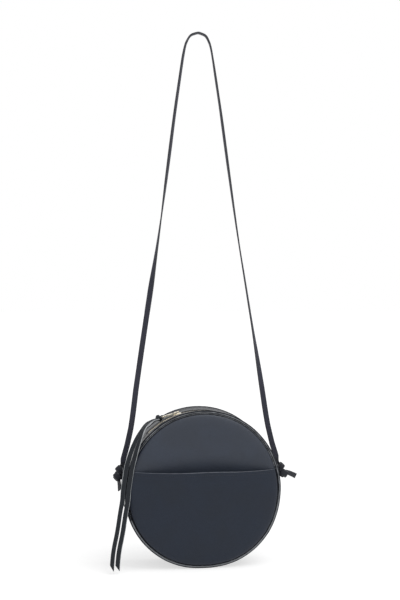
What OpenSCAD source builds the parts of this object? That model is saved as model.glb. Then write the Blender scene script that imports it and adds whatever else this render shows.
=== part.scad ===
// Round leather shoulder bag with a pocket across its front, a zip over its top and a long
// strap knotted into a tab at each side. X is to the right, Y into the depth and Z up, and the
// front faces -Y. The origin is the underside of the strap's top bend, where the bag hangs.
// Angles round the ring are counted from the right, over the top, as seen from the front.

/* [Bag] */
// Radius of the round bag over its piping
ring_r = 105; // [90:1:130]
// Depth over the two rings of piping
bag_depth = 60; // [50:1:80]
// Thickness of the leather
leather_t = 1.2; // [1:0.1:1.4]
// Thickness of the lining
lining_t = 0.4; // [0.2:0.1:0.6]
// How far the front panel stands out at its middle
front_crown = 7; // [4:0.5:10]
// How far the back panel stands out
back_crown = 4; // [2:0.5:6]
// Radius of the flat middle of the back panel
back_flat_r = 60; // [40:1:70]
// Width of the seam allowance inside each seam
allowance = 9; // [6:0.5:10]
// Diameter of the piping
piping_d = 4; // [3.6:0.1:4.6]
// Diameter of the cord inside the piping
piping_cord_d = 2; // [1.4:0.1:2.4]

/* [Pocket] */
// Height of the ends of the pocket's edge above the middle of the ring
pocket_z = 25; // [10:1:40]
// How far the pocket's edge sags at its middle
pocket_sag = 4; // [2:0.5:8]
// How far the pocket stands off the panel behind it
pocket_slack = 7; // [6:0.5:9]

/* [Zip] */
// Angle of the slider's middle round the ring
slider_angle = 108; // [95:1:115]
// Angle from the top of the ring to the last tooth
teeth_half_angle = 43; // [38:1:46]
// Angle that each leather cover takes at the zip's ends
cover_angle = 7; // [5:1:9]
// Width of the meshed chain
chain_w = 5.8; // [5.6:0.1:6]
// Distance from tooth to tooth in one row
tooth_pitch = 2.4; // [2.35:0.05:2.6]
// Thickness of a tooth along the chain
tooth_t = 1.05; // [0.95:0.05:1.05]
// Height of a tooth
tooth_h = 2.6; // [2.4:0.1:2.8]
// How far each tooth reaches over the chain's middle
tooth_reach = 0.75; // [0.65:0.05:0.8]
// How far each row draws back where the chain is open
parted_shift = 1.5; // [1.4:0.05:1.6]
// Thickness of the tape
tape_t = 0.6; // [0.4:0.05:0.7]
// Width of the slot between the leather strips
lip_gap = 12.5; // [12:0.1:14]

/* [Slider and pull] */
// Length of the slider
slider_l = 10.5; // [10:0.5:11.5]
// Thickness of each plate of the slider
plate_t = 0.9; // [0.7:0.1:1.1]
// Width of the slider's bridge
bridge_w = 2.2; // [1.8:0.1:2.4]
// Diameter of the pull's cross bar
pull_bar_d = 1.4; // [1.2:0.1:1.4]
// Thickness of the metal pull
pull_t = 2; // [1.4:0.1:2]
// Length of the metal pull from its bar to its tip
pull_l = 19.9; // [18:0.1:22]
// Width of the metal pull
pull_w = 5.2; // [5:0.1:5.6]
// Diameter of the hole for the lace
pull_hole_d = 3.6; // [3.5:0.1:3.7]
// Angle that the pull lies above the slider's plate
pull_lift = 4; // [2:0.5:6]
// Width of each end of the lace
lace_w = 6.5; // [5:0.1:7.5]
// Thickness of the lace
lace_t = 1.8; // [1.4:0.1:2]
// Diameter of the lace's knot
lace_knot_d = 8.4; // [8:0.1:8.6]

/* [Strap] */
// Height of the strap's top bend above the middle of the ring
strap_rise = 618; // [450:1:700]
// Width of the strap
strap_w = 7.5; // [6:0.1:8.5]
// Thickness of the strap
strap_t = 2.2; // [1.8:0.1:2.3]
// How far the strap's top leans to the left of the ring's middle
strap_lean = 2; // [0:0.5:6]
// Height of the side tabs' holes above the middle of the ring
anchor_z = 22; // [20:0.5:26]
// Diameter of the holes in the side tabs
anchor_hole_d = 6; // [5.8:0.1:6.4]
// Width of the side tabs
tab_w = 13; // [12:0.5:14]
// Thickness of the side tabs
tab_t = 2; // [1.6:0.1:2.2]
// How far the doubled foot holds a side tab off the bag
tab_standoff = 0.9; // [0.8:0.1:1.5]
// Height of the stitched foot below the middle of the ring
tab_foot = 14; // [10:1:18]
// Diameter of each lobe of the strap's knots
knot_d = 11.6; // [11:0.1:12.4]

/* [Hidden] */
$fn = 120;

// Gaps: between sewn neighbours, between pieces that move on each other, and past every cut.
seam_gap = 0.1;
move_gap = 0.3;
metal_gap = 0.2;
overrun = 1;

// The ring's seams. A profile's first coordinate is the radius and its second the distance
// to the front of the bag's middle plane.
seam_r = ring_r - piping_d / 2;
seam_f = bag_depth / 2 - piping_d / 2;
flange_t = 0.8;
panel_f = seam_f + flange_t / 2;
panel_edge_r = seam_r - piping_d / 2 - seam_gap;
crown_edge_r = panel_edge_r - piping_d;
fold_f = seam_f - flange_t / 2 - leather_t;
gusset_in_r = seam_r - leather_t;
allowance_r = gusset_in_r - allowance;
lining_f = fold_f - seam_gap;

// The zip: the radii of the layers at the chain, and its angles.
tape_out_r = gusset_in_r - seam_gap;
chain_r = tape_out_r - tape_t / 2;
pitch_angle = tooth_pitch / chain_r * 180 / PI;
stop_l = 2.2;
stop_step_share = 1.1;
stop_step = stop_step_share * pitch_angle;
cover_in = 90 - teeth_half_angle - 2 * stop_step;
zip_side = cover_in - cover_angle;
half_chain = chain_w / 2;
leg_l = 1.6;
tape_reach = 8;
tape_end_angle = 1;
// How far the lining beside the zip laps under the tape's edges.
lining_lap = 1.75;
lining_edge_f = lip_gap / 2 + tape_reach - lining_lap;
first_tooth = 90 - teeth_half_angle;
tooth_count = floor(2 * teeth_half_angle / pitch_angle);

// A tooth's nib, its dimple, and its outline as shares of half its height and half the chain.
nib_d = 0.8;
nib_h = 0.35;
dimple_d = 1.1;
dimple_h = 0.4;
head_h_share = 0.72;
shoulder_share = 0.3;

// The slider, modelled with the middle of the tape below its own origin at radius chain_r.
// Its X points towards the open side of the chain.
plate_gap = tooth_h / 2 + move_gap;
slot_half = tape_t / 2 + metal_gap;
flange_w = 0.5;
channel_closed = half_chain + metal_gap;
channel_open = channel_closed + parted_shift;
flare_shares = [-0.19, 0.4];
divider_shares = [0.27, 0.42];
divider_w = 0.8;
bridge_l = 6.8;
bridge_bar_h = 0.9;
bridge_foot_h = 0.4;
bridge_post_l = 1.2;
bridge_window_h = pull_bar_d + 2 * metal_gap;
pivot_x = -1.3;
pivot_z = plate_gap + plate_t + bridge_foot_h + bridge_window_h / 2;
bridge_top = plate_gap + plate_t + bridge_foot_h + bridge_window_h + bridge_bar_h;

// The pull, modelled with its bar at the origin and its tip towards -X.
pull_eye_l = 5.4;
pull_arm_w = 1;
pull_hole_x = pull_l - pull_w / 2;
lace_ring_in = 1.35;
lace_ring_out = 2.75;
lace_ring_w = 2.2;
lace_pivot_x = pull_l - (pull_w - pull_hole_d) / 4;
lace_neck = 0.15;
lace_knot_x = lace_ring_in + lace_neck + lace_knot_d / 2;

// The strap's tabs and knots.
tab_in_x = seam_r + tab_standoff;
tab_out_x = tab_in_x + tab_t;
tab_top_r = tab_w / 2;
neck_d = anchor_hole_d - 2 * move_gap;
loop_in_r = tab_top_r + move_gap;
loop_out_r = loop_in_r + strap_t;
knot_gap = 0.5;
lobe_x = tab_out_x + knot_gap + knot_d / 2;
lobe_rise = 5;
lobe_step = 1.5;
stub_l = 4;
stub_out = 0.6;
stub_top = anchor_z + loop_out_r + stub_l;
strap_end_z = stub_top + seam_gap;
strap_end_x = tab_in_x + tab_t / 2 + stub_out;
foot_rise = 2.8;
foot_in_x = sqrt(seam_r * seam_r - tab_foot * tab_foot) - overrun;

// The strap's two sides from the top bend down: share of the drop, share of the half width.
strap_shares = [[0, 0], [0.0064, 0.094], [0.02, 0.144], [0.034, 0.17], [0.062, 0.198],
    [0.131, 0.256], [0.2, 0.312], [0.338, 0.414], [0.476, 0.521], [0.613, 0.641],
    [0.751, 0.76], [0.889, 0.876], [0.945, 0.934], [1, 1]];
// The shares of the drop between which each side turns a quarter round its own length.
turn_left_share = [0.44, 0.6];
turn_right_share = [0.64, 0.82];

// The lace's route from its knot: angle round the ring, share of ring_r, share of bag_depth
// to the front, and how far its face has turned from the ring's outside to the front.
lace_route_shares = [[123.7, 1.05, 0.062, 0.05], [127.2, 1.083, 0.165, 0.05],
    [130.8, 1.095, 0.28, 0.08], [134.5, 1.095, 0.4, 0.15], [138.3, 1.082, 0.47, 0.28],
    [142, 1.063, 0.505, 0.42], [148, 1.037, 0.52, 0.55], [155, 1.014, 0.54, 0.72],
    [162.3, 1.001, 0.556, 0.9], [170.3, 0.99, 0.567, 1], [178.3, 0.995, 0.577, 1],
    [187.4, 1.018, 0.6, 1], [198.6, 1.102, 0.63, 1], [206.8, 1.204, 0.66, 1],
    [215, 1.368, 0.71, 1], [219.4, 1.468, 0.74, 1]];
// How much longer each end of the lace is cut on its right.
lace_cut = 7;

// The tails' routes, from the middle of their knot: shares of knot_d outwards, to the front
// and up. The side shares say where each tail's width points.
tail_left_shares = [[0.07, 0, -0.95], [-0.04, 0.05, -1.35], [-0.14, 0.1, -2.15]];
tail_left_side_shares = [0.35, 1, 0];
tail_right_shares = [[0.92, 0.02, -0.41], [1.2, 0.1, -0.62], [1.8, 0.2, -1]];
tail_right_side_shares = [0, 0.4, 1];

// Places. Everything is modelled round the middle of the ring and then hung on the strap.
module hung() translate([strap_lean, 0, -strap_rise]) children();
module at_angle(a) rotate([0, 90 - a, 0]) children();
module at_slider() hung() at_angle(slider_angle) translate([0, 0, chain_r]) children();
module at_pull() at_slider() translate([pivot_x, 0, pivot_z]) rotate([0, pull_lift, 0]) children();
module turned(a0, a1) rotate([90, 0, 0]) rotate([0, 0, a0])
    rotate_extrude(angle = a1 - a0) children();
module all_round() rotate([90, 0, 0]) rotate_extrude() children();
module to_back() mirror([0, 1, 0]) children();
// An outline in X and Z that is pulled out evenly to both sides of Y = 0.
module slab_y(w) rotate([90, 0, 0]) translate([0, 0, -w / 2]) linear_extrude(w) children();
// An outline in Y and Z that is pulled out evenly to both sides of X = 0.
module slab_x(w) rotate([90, 0, 90]) translate([0, 0, -w / 2]) linear_extrude(w) children();

// Vectors and curves.
function unit(v) = v / norm(v);
function mix(a, b, s) = a + (b - a) * s;
function ease(s) = let (c = max(0, min(1, s))) c * c * (3 - 2 * c);
function between(s, span) = ease((s - span[0]) / (span[1] - span[0]));
function at_clamped(p, i) = p[max(0, min(len(p) - 1, i))];
// A smooth curve through the points, with n steps between each two.
function smooth_part(a, b, c, d, t) = 0.5 * (2 * b + (c - a) * t
    + (2 * a - 5 * b + 4 * c - d) * t * t + (3 * b - a - 3 * c + d) * t * t * t);
function smooth(p, n) = [for (i = [0 : len(p) - 2], k = [0 : n - 1])
    smooth_part(at_clamped(p, i - 1), p[i], p[i + 1], at_clamped(p, i + 2), k / n),
    p[len(p) - 1]];
function heading(p, i) = unit(at_clamped(p, i + 1) - at_clamped(p, i - 1));

// A flat band along the points p. Each side vector points along the band's width. The last
// end is cut at a slant of cut.
module band(p, sides, w, t, cut = 0) {
    n = len(p);
    rings = [for (i = [0 : n - 1])
        let (along = heading(p, i),
             side = unit(sides[i] - along * (sides[i] * along)),
             face = cross(along, side),
             slant = i == n - 1 ? along * cut / 2 : 0 * along)
        each [p[i] + side * w / 2 + slant + face * t / 2, p[i] - side * w / 2 - slant + face * t / 2,
              p[i] - side * w / 2 - slant - face * t / 2, p[i] + side * w / 2 + slant - face * t / 2]];
    walls = [for (i = [0 : n - 2], k = [0 : 3])
        let (a = 4 * i + k, b = 4 * i + (k + 1) % 4)
        each [[a, b, b + 4], [a, b + 4, a + 4]]];
    last = 4 * (n - 1);
    ends = [[0, 2, 1], [0, 3, 2], [last, last + 1, last + 2], [last, last + 2, last + 3]];
    polyhedron([for (r = rings) r], [for (f = concat(walls, ends)) [f[2], f[1], f[0]]]);
}

// Panels. A cap is the part of a large circle that stands h above a chord of half width r.
module cap(r, h) {
    big_r = (r * r + h * h) / (2 * h);
    intersection() {
        translate([0, h - big_r]) circle(big_r, $fn = 240);
        square([r, h]);
    }
}
module crowned(f, h) difference() {
    union() {
        translate([0, f]) square([panel_edge_r, leather_t]);
        translate([0, f + leather_t]) cap(crown_edge_r, h);
    }
    translate([0, f]) cap(crown_edge_r, h);
}
module front_panel() color("#42474f") hung() all_round() crowned(panel_f, front_crown);

module below_pocket_edge() {
    edge_r = (ring_r * ring_r + pocket_sag * pocket_sag) / (2 * pocket_sag);
    difference() {
        translate([-ring_r, -ring_r]) square([2 * ring_r, ring_r + pocket_z]);
        translate([0, pocket_z - pocket_sag + edge_r]) circle(edge_r, $fn = 240);
    }
}
module front_pocket() color("#31363f") hung() intersection() {
    all_round() crowned(panel_f + leather_t, front_crown + pocket_slack);
    slab_y(4 * bag_depth) below_pocket_edge();
}

module back_panel() color("#42474f") hung() to_back() all_round() {
    top_f = panel_f + back_crown;
    polygon([[0, top_f], [back_flat_r, top_f], [crown_edge_r, panel_f], [panel_edge_r, panel_f],
        [panel_edge_r, panel_f + leather_t], [crown_edge_r, panel_f + leather_t],
        [back_flat_r, top_f + leather_t], [0, top_f + leather_t]]);
}

// The gusset runs round between the two seams, and is turned in behind each of them.
module gusset_half() difference() {
    union() {
        translate([gusset_in_r, 0]) square([leather_t, fold_f + leather_t]);
        translate([allowance_r, fold_f]) square([allowance, leather_t]);
        translate([gusset_in_r - leather_t, fold_f - leather_t]) square([leather_t, leather_t]);
    }
    translate([seam_r, seam_f]) circle(d = piping_d + 2 * seam_gap);
}
module gusset_base() color("#3c4149") hung() turned(180 - zip_side, 360 + zip_side) {
    gusset_half();
    mirror([0, 1]) gusset_half();
}
module zip_strip() turned(zip_side, 180 - zip_side) difference() {
    gusset_half();
    translate([gusset_in_r - overrun, -overrun])
        square([leather_t + 2 * overrun, lip_gap / 2 + overrun]);
}
module zip_strip_front() color("#6b6e76") hung() zip_strip();
module zip_strip_back() color("#63666e") hung() to_back() zip_strip();
module zip_end_cover() turned(zip_side, cover_in)
    translate([gusset_in_r, seam_gap - lip_gap / 2]) square([leather_t, lip_gap - 2 * seam_gap]);
module zip_end_cover_right() color("#4a4e57") hung() zip_end_cover();
module zip_end_cover_left() color("#4a4e57") hung() mirror([1, 0, 0]) zip_end_cover();

// Piping: a leather skin sewn round a cord, with a flange that runs into the seam.
module piping() all_round() difference() {
    union() {
        translate([seam_r, seam_f]) circle(d = piping_d);
        translate([allowance_r, seam_f - flange_t / 2])
            square([seam_r - allowance_r - piping_cord_d / 2, flange_t]);
    }
    translate([seam_r, seam_f]) circle(d = piping_cord_d + 2 * seam_gap);
}
module piping_cord() all_round() translate([seam_r, seam_f]) circle(d = piping_cord_d);
module front_piping() color("#2f333b") hung() piping();
module back_piping() color("#2f333b") hung() to_back() piping();
module front_piping_cord() color("#cfc9bb") hung() piping_cord();
module back_piping_cord() color("#cfc9bb") hung() to_back() piping_cord();

// Lining: a disc behind each panel and a band under the gusset, left open along the zip.
module lining_disc(h) {
    edge_r = gusset_in_r - leather_t - 2 * lining_t;
    difference() {
        union() {
            translate([0, lining_f - lining_t]) square([edge_r, lining_t]);
            translate([0, lining_f]) cap(allowance_r - seam_gap, h);
        }
        translate([0, lining_f - lining_t]) cap(allowance_r - seam_gap, h);
    }
}
module lining_front() color("#8a8074") hung() all_round() lining_disc(front_crown - 2 * lining_t);
module lining_back() color("#8a8074") hung() to_back() all_round() lining_disc(back_crown - 2 * lining_t);
module lining_gusset() color("#8a8074") hung() {
    depth_f = lining_f - lining_t - seam_gap;
    out_r = gusset_in_r - leather_t - seam_gap;
    difference() {
        all_round() translate([out_r - lining_t, -depth_f]) square([lining_t, 2 * depth_f]);
        turned(zip_side, 180 - zip_side) translate([out_r - lining_t - overrun, -lining_edge_f])
            square([lining_t + 2 * overrun, 2 * lining_edge_f]);
    }
}

// The chain. Each row draws back from the middle where the slider has parted it. The angle
// here is the one round the ring.
function parted(a) = let (x = (slider_angle - a) * PI / 180 * chain_r / slider_l)
    parted_shift * max(0, min(1, (x - flare_shares[0] / 2) / (flare_shares[1] - flare_shares[0] / 2)));
module tape() {
    shut_end = slider_angle + slider_l / 2 / chain_r * 180 / PI;
    steps = 8;
    step = slider_l / steps / chain_r * 180 / PI;
    shut_edge = half_chain - leg_l + seam_gap;
    difference() {
        turned(zip_side + tape_end_angle, 180 - zip_side - tape_end_angle)
            translate([chain_r - tape_t / 2, shut_edge])
            square([tape_t, lip_gap / 2 + tape_reach - shut_edge]);
        for (k = [0 : steps]) {
            a = shut_end - k * step;
            turned(zip_side, a) translate([chain_r - tape_t, -overrun])
                square([2 * tape_t, overrun + shut_edge + parted(a - 1.5 * step)]);
        }
    }
}
module zip_tape_front() color("#2b2b30") hung() tape();
module zip_tape_back() color("#2b2b30") hung() to_back() tape();

// One tooth of the front row: two legs that grip the tape's edge, and a head with a nib on
// one flank and a dimple on the other, open to its tip, where the other row's nib seats.
module tooth_outline() difference() {
    polygon([[-half_chain, -tooth_h / 2], [-half_chain * shoulder_share, -tooth_h / 2],
        [tooth_reach, -tooth_h / 2 * head_h_share], [tooth_reach, tooth_h / 2 * head_h_share],
        [-half_chain * shoulder_share, tooth_h / 2], [-half_chain, tooth_h / 2]]);
    translate([-half_chain - overrun, -tape_t / 2 - seam_gap / 2])
        square([leg_l + overrun, tape_t + seam_gap]);
}
module tooth() difference() {
    union() {
        slab_x(tooth_t) tooth_outline();
        translate([tooth_t / 2, 0, 0]) rotate([0, 90, 0]) cylinder(d = nib_d, h = nib_h);
    }
    translate([-tooth_t / 2 - overrun, 0, 0]) {
        rotate([0, 90, 0]) cylinder(d = dimple_d, h = dimple_h + overrun);
        translate([0, 0, -dimple_d / 2]) cube([dimple_h + overrun, tooth_reach + overrun, dimple_d]);
    }
}
module teeth(first) for (i = [0 : tooth_count - 1]) {
    a = first + i * pitch_angle;
    at_angle(a) translate([0, -parted(a), chain_r]) tooth();
}
module zip_teeth_front() color("#d8c08a") hung() teeth(first_tooth);
module zip_teeth_back() color("#d8c08a") hung() to_back() teeth(first_tooth + pitch_angle / 2);

// Stops: one block across both rows where the zip opens last, one on each row where it shuts.
module stop_block(y0, y1) difference() {
    translate([-stop_l / 2, y0, -tooth_h / 2]) cube([stop_l, y1 - y0, tooth_h]);
    for (side = [-1, 1]) translate([-stop_l, side * half_chain - leg_l, -tape_t / 2 - seam_gap / 2])
        cube([2 * stop_l, 2 * leg_l, tape_t + seam_gap]);
}
module zip_bottom_stop() color("#c9b27c") hung()
    at_angle(first_tooth + (tooth_count - 0.5) * pitch_angle + stop_step)
    translate([0, 0, chain_r]) stop_block(-half_chain, half_chain);
module top_stop() at_angle(first_tooth - stop_step) translate([0, -parted_shift, chain_r])
    stop_block(-half_chain, 0);
module zip_top_stop_front() color("#c9b27c") hung() top_stop();
module zip_top_stop_back() color("#c9b27c") hung() to_back() top_stop();

// Side tabs: an upright leather tab with a round top and a punched hole, on a doubled foot
// that is stitched to the gusset.
module side_tab() difference() {
    union() {
        translate([tab_in_x, -tab_w / 2, -tab_foot]) cube([tab_t, tab_w, tab_foot + anchor_z]);
        translate([tab_in_x, 0, anchor_z]) rotate([0, 90, 0]) cylinder(r = tab_top_r, h = tab_t);
        difference() {
            translate([foot_in_x, -tab_w / 2, -tab_foot])
                cube([tab_in_x + tab_t / 2 - foot_in_x, tab_w, tab_foot + foot_rise]);
            rotate([90, 0, 0]) cylinder(r = seam_r + seam_gap, h = 2 * tab_w, center = true);
        }
    }
    translate([tab_in_x - overrun, 0, anchor_z]) rotate([0, 90, 0])
        cylinder(d = anchor_hole_d, h = tab_t + 2 * overrun);
}
module side_tab_right() color("#33373f") hung() side_tab();
module side_tab_left() color("#33373f") hung() mirror([1, 0, 0]) side_tab();

// The slider: two plates with flanges that hold the teeth in, joined by the wedge that parts
// the rows. Its outline is narrow round the meshed chain and wide round the parted one.
function channel(grow, past = 0) =
    let (h = slider_l / 2 + past, x0 = slider_l * flare_shares[0], x1 = slider_l * flare_shares[1])
    let (right = [[-h, channel_closed + grow], [x0, channel_closed + grow],
        [x1, channel_open + grow], [h, channel_open + grow]])
    concat(right, [for (i = [3 : -1 : 0]) [right[i][0], -right[i][1]]]);
module flange_outline() difference() {
    polygon(channel(flange_w));
    polygon(channel(0, overrun));
}
module slider_body() color("#d9c590") at_slider() {
    for (side = [0, 1]) mirror([0, 0, side]) {
        translate([0, 0, plate_gap]) linear_extrude(plate_t) polygon(channel(flange_w));
        translate([0, 0, slot_half]) linear_extrude(plate_gap - slot_half) flange_outline();
    }
    translate([0, 0, -plate_gap]) linear_extrude(2 * plate_gap)
        polygon([[slider_l * divider_shares[0], 0], [slider_l * divider_shares[1], divider_w / 2],
            [slider_l / 2, divider_w / 2], [slider_l / 2, -divider_w / 2],
            [slider_l * divider_shares[1], -divider_w / 2]]);
}
module slider_bridge() color("#d9c590") at_slider() slab_y(bridge_w) difference() {
    foot_z = plate_gap + plate_t;
    union() {
        translate([-bridge_l / 2, foot_z]) square([bridge_l, bridge_top - foot_z - bridge_post_l]);
        for (side = [-1, 1]) translate([side * (bridge_l / 2 - bridge_post_l), bridge_top - bridge_post_l])
            circle(bridge_post_l);
        translate([bridge_post_l - bridge_l / 2, foot_z])
            square([bridge_l - 2 * bridge_post_l, bridge_top - foot_z]);
    }
    translate([bridge_post_l - bridge_l / 2, foot_z + bridge_foot_h])
        square([bridge_l - 2 * bridge_post_l, bridge_window_h]);
}

// The pull: a cross bar under the bridge, two arms, and a plate with a hole near its tip.
module pull_tab() color("#e0cd9a") at_pull() {
    arm_in = bridge_w / 2 + metal_gap;
    arm_out = arm_in + pull_arm_w;
    rotate([90, 0, 0]) cylinder(d = pull_bar_d, h = 2 * arm_out, center = true);
    for (side = [0, 1]) mirror([0, side, 0])
        translate([-pull_eye_l, arm_in, -pull_t / 2]) cube([pull_eye_l, pull_arm_w, pull_t]);
    translate([0, 0, -pull_t / 2]) linear_extrude(pull_t) difference() {
        union() {
            translate([-pull_hole_x, -pull_w / 2]) square([pull_hole_x - pull_eye_l, pull_w]);
            translate([-pull_hole_x, 0]) circle(d = pull_w);
        }
        translate([-pull_hole_x, 0]) circle(d = pull_hole_d);
    }
}

// The lace's knot, with the small loop that goes through the hole of the pull.
module lace_knot() color("#3a3f48") at_pull() translate([-lace_pivot_x, 0, 0]) {
    rotate([90, 0, 0]) difference() {
        cylinder(r = lace_ring_out, h = lace_ring_w, center = true);
        cylinder(r = lace_ring_in, h = lace_ring_w + overrun, center = true);
    }
    translate([-lace_knot_x, 0, 0]) sphere(d = lace_knot_d);
}

// The lace's two ends lie side by side, over the gusset and then down in front of the bag.
function lace_point(r) = [r[1] * ring_r * cos(r[0]), -r[2] * bag_depth, r[1] * ring_r * sin(r[0])];
function lace_face(r) = mix([cos(r[0]), 0, sin(r[0])], [0, -1, 0], r[3]);
module lace_end(side) {
    route = smooth(lace_route_shares, 3);
    middle = [for (r = route) lace_point(r)];
    across = [for (i = [0 : len(route) - 1]) unit(cross(heading(middle, i), lace_face(route[i])))];
    path = [for (i = [0 : len(route) - 1]) middle[i] + across[i] * side * (lace_w / 2 + move_gap)];
    band(path, across, lace_w, lace_t, -lace_cut);
}
module lace_end_outer() color("#3a3f48") hung() lace_end(1);
module lace_end_inner() color("#3a3f48") hung() lace_end(-1);

// The strap: from the left knot up over the top bend and down to the right knot. Its width
// lies front to back at the top and turns to face the front lower down.
strap_top_z = strap_rise + strap_t / 2;
strap_straight_z = strap_end_z + strap_w / 2;
function strap_side(side, turn) = [for (s = smooth(strap_shares, 3))
    [side * s[1] * strap_end_x - strap_lean * (1 - s[0]),
     strap_top_z - s[0] * (strap_top_z - strap_straight_z), 90 * between(s[0], turn)]];
module strap() color("#40444d") hung() {
    left = strap_side(-1, turn_left_share);
    right = strap_side(1, turn_right_share);
    last = len(left) - 1;
    route = concat([[-strap_end_x, strap_end_z, 90]], [for (i = [last : -1 : 1]) left[i]], right,
        [[strap_end_x, strap_end_z, 90]]);
    p = [for (r = route) [r[0], 0, r[1]]];
    sides = [for (i = [0 : len(route) - 1])
        cos(route[i][2]) * [0, 1, 0] + sin(route[i][2]) * cross(heading(p, i), [0, 1, 0])];
    band(p, sides, strap_w, strap_t);
}

// A knot: the strap comes down to it, a loop runs through the tab's hole and over its top,
// and two lobes of the knot lie outside the tab, the lower one further out.
module strap_knot() {
    loop_x = tab_in_x - move_gap - strap_t;
    loop_out_x = tab_out_x + move_gap + strap_t;
    slab_y(neck_d) translate([0, anchor_z]) difference() {
        translate([loop_x, 0]) square([loop_out_x - loop_x, loop_out_r]);
        translate([tab_in_x - move_gap, -overrun])
            square([tab_t + 2 * move_gap, loop_in_r + overrun]);
    }
    translate([loop_x, 0, anchor_z]) rotate([0, 90, 0]) cylinder(d = neck_d, h = loop_out_x - loop_x);
    translate([strap_end_x - strap_w / 2, -strap_t / 2, anchor_z + loop_in_r + strap_t / 2])
        cube([strap_w, strap_t, stub_top - anchor_z - loop_in_r - strap_t / 2]);
    for (side = [-1, 1])
        translate([lobe_x + lobe_step * (1 - side), side * strap_t / 2, anchor_z + side * lobe_rise])
        sphere(d = knot_d);
}
module strap_knot_right() color("#353942") hung() strap_knot();
module strap_knot_left() color("#353942") hung() mirror([1, 0, 0]) strap_knot();

module tail(shares, side_shares) {
    p = smooth([for (s = shares)
        [lobe_x + s[0] * knot_d, -s[1] * knot_d, anchor_z + s[2] * knot_d]], 3);
    band(p, [for (q = p) side_shares], strap_w, strap_t);
}
module strap_tail_right() color("#353942") hung() tail(tail_right_shares, tail_right_side_shares);
module strap_tail_left() color("#353942") hung() mirror([1, 0, 0])
    tail(tail_left_shares, tail_left_side_shares);

front_panel();
front_pocket();
back_panel();
gusset_base();
zip_strip_front();
zip_strip_back();
zip_end_cover_left();
zip_end_cover_right();
front_piping();
back_piping();
front_piping_cord();
back_piping_cord();
lining_front();
lining_back();
lining_gusset();
zip_tape_front();
zip_tape_back();
zip_teeth_front();
zip_teeth_back();
zip_bottom_stop();
zip_top_stop_front();
zip_top_stop_back();
side_tab_left();
side_tab_right();
slider_body();
slider_bridge();
pull_tab();
lace_knot();
lace_end_outer();
lace_end_inner();
strap();
strap_knot_left();
strap_knot_right();
strap_tail_left();
strap_tail_right();
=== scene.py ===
import math

import bmesh
import bpy
import numpy as np
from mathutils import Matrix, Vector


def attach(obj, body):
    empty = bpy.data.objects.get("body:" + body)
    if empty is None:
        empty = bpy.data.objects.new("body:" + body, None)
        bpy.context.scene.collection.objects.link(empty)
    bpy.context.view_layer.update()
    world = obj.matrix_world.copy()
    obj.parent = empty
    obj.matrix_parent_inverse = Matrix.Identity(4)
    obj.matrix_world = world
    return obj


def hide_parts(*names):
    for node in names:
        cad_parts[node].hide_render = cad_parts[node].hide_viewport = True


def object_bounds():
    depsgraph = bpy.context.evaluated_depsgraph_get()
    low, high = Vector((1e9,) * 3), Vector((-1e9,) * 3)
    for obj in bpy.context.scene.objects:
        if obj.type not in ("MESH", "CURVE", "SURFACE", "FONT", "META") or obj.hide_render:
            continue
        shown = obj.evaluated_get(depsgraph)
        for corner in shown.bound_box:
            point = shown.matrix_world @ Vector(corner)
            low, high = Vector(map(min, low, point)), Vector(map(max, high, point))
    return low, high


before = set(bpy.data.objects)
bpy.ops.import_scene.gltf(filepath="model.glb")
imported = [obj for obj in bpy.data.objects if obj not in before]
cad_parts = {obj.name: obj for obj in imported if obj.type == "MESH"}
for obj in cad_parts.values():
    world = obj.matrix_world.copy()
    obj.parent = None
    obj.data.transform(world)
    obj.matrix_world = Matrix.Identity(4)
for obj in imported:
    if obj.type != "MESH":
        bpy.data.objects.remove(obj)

cad_low, cad_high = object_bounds()
scene = bpy.context.scene

# Sizes in millimetres about the middle of the ring, as in the part's source. X is to the right,
# Y into the depth and Z up. "Front" values count from the bag's middle plane towards the camera.
STRAP_LEAN, STRAP_RISE = 2.0, 618.0
RING_R, BAG_DEPTH, PIPING_D = 105.0, 60.0, 4.0
LEATHER_T, LINING_T, TAPE_T = 1.2, 0.4, 0.6
SEAM_R, SEAM_F = RING_R - PIPING_D / 2, BAG_DEPTH / 2 - PIPING_D / 2
PANEL_EDGE_R, ALLOWANCE_R = SEAM_R - PIPING_D / 2 - 0.1, 92.8
PANEL_F, FRONT_CROWN, BACK_CROWN, BACK_LIFT = 28.3, 6.2, 4.2, 2.0
POCKET_F, POCKET_STAND, POCKET_Z, POCKET_SAG, HEM_DOWN = 29.7, 6.4, 26.2, 2.6, 4.0
ZIP_SIDE, COVER_IN = 37.02, 44.02
LIP_HALF, TAPE_OUT, CHAIN_R, PARTED = 6.25, 14.25, 101.4, 1.5
SLIDER_ANGLE, SLIDER_L, PULL_PROP = 108.0, 10.5, 4.0
ANCHOR_Z, TAB_IN_X, TAB_T, TAB_W, TAB_FOOT, TAB_HOLE_R = 22.0, 103.9, 2.0, 13.0, 14.0, 3.0
STRAP_W, STRAP_T, LACE_W, LACE_T, LACE_CUT = 7.5, 2.2, 6.5, 1.8, 7.0
KNOT_X, KNOT_D, STRAP_END_X, STRAP_END_Z = 112.2, 11.6, 105.5, 35.1
STITCH_RUN, THREAD_D = 3.2, 0.5
ZIP_SEAM_Y, LINING_HALF, GUSSET_HALF = 9.2, 25.8, 27.4
WEAR_REACH = 1.2                 # how far from a cut edge leather is rubbed
FACE_T = STRAP_T - 0.3           # the strap's thickness without its crown
FRONT_BACK = ((-1, "front"), (1, "back"))
RIGHT_LEFT = ((1, "right"), (-1, "left"))
TO_FRONT = np.array((0.0, -1.0, 0.0))


def placed(points):
    """Millimetres about the ring's middle, as metres in the row's frame."""
    return (np.asarray(points, float) + (STRAP_LEAN, 0.0, -STRAP_RISE)) * 0.001


# ---- Vectors and curves ----

def unit(v):
    v = np.asarray(v, float)
    return v / np.maximum(np.linalg.norm(v, axis=-1, keepdims=True), 1e-9)


def rise(value, low, high):
    """From 0 at low to 1 at high, with soft ends."""
    s = np.clip((value - low) / (high - low), 0, 1)
    return s * s * (3 - 2 * s)


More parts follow.
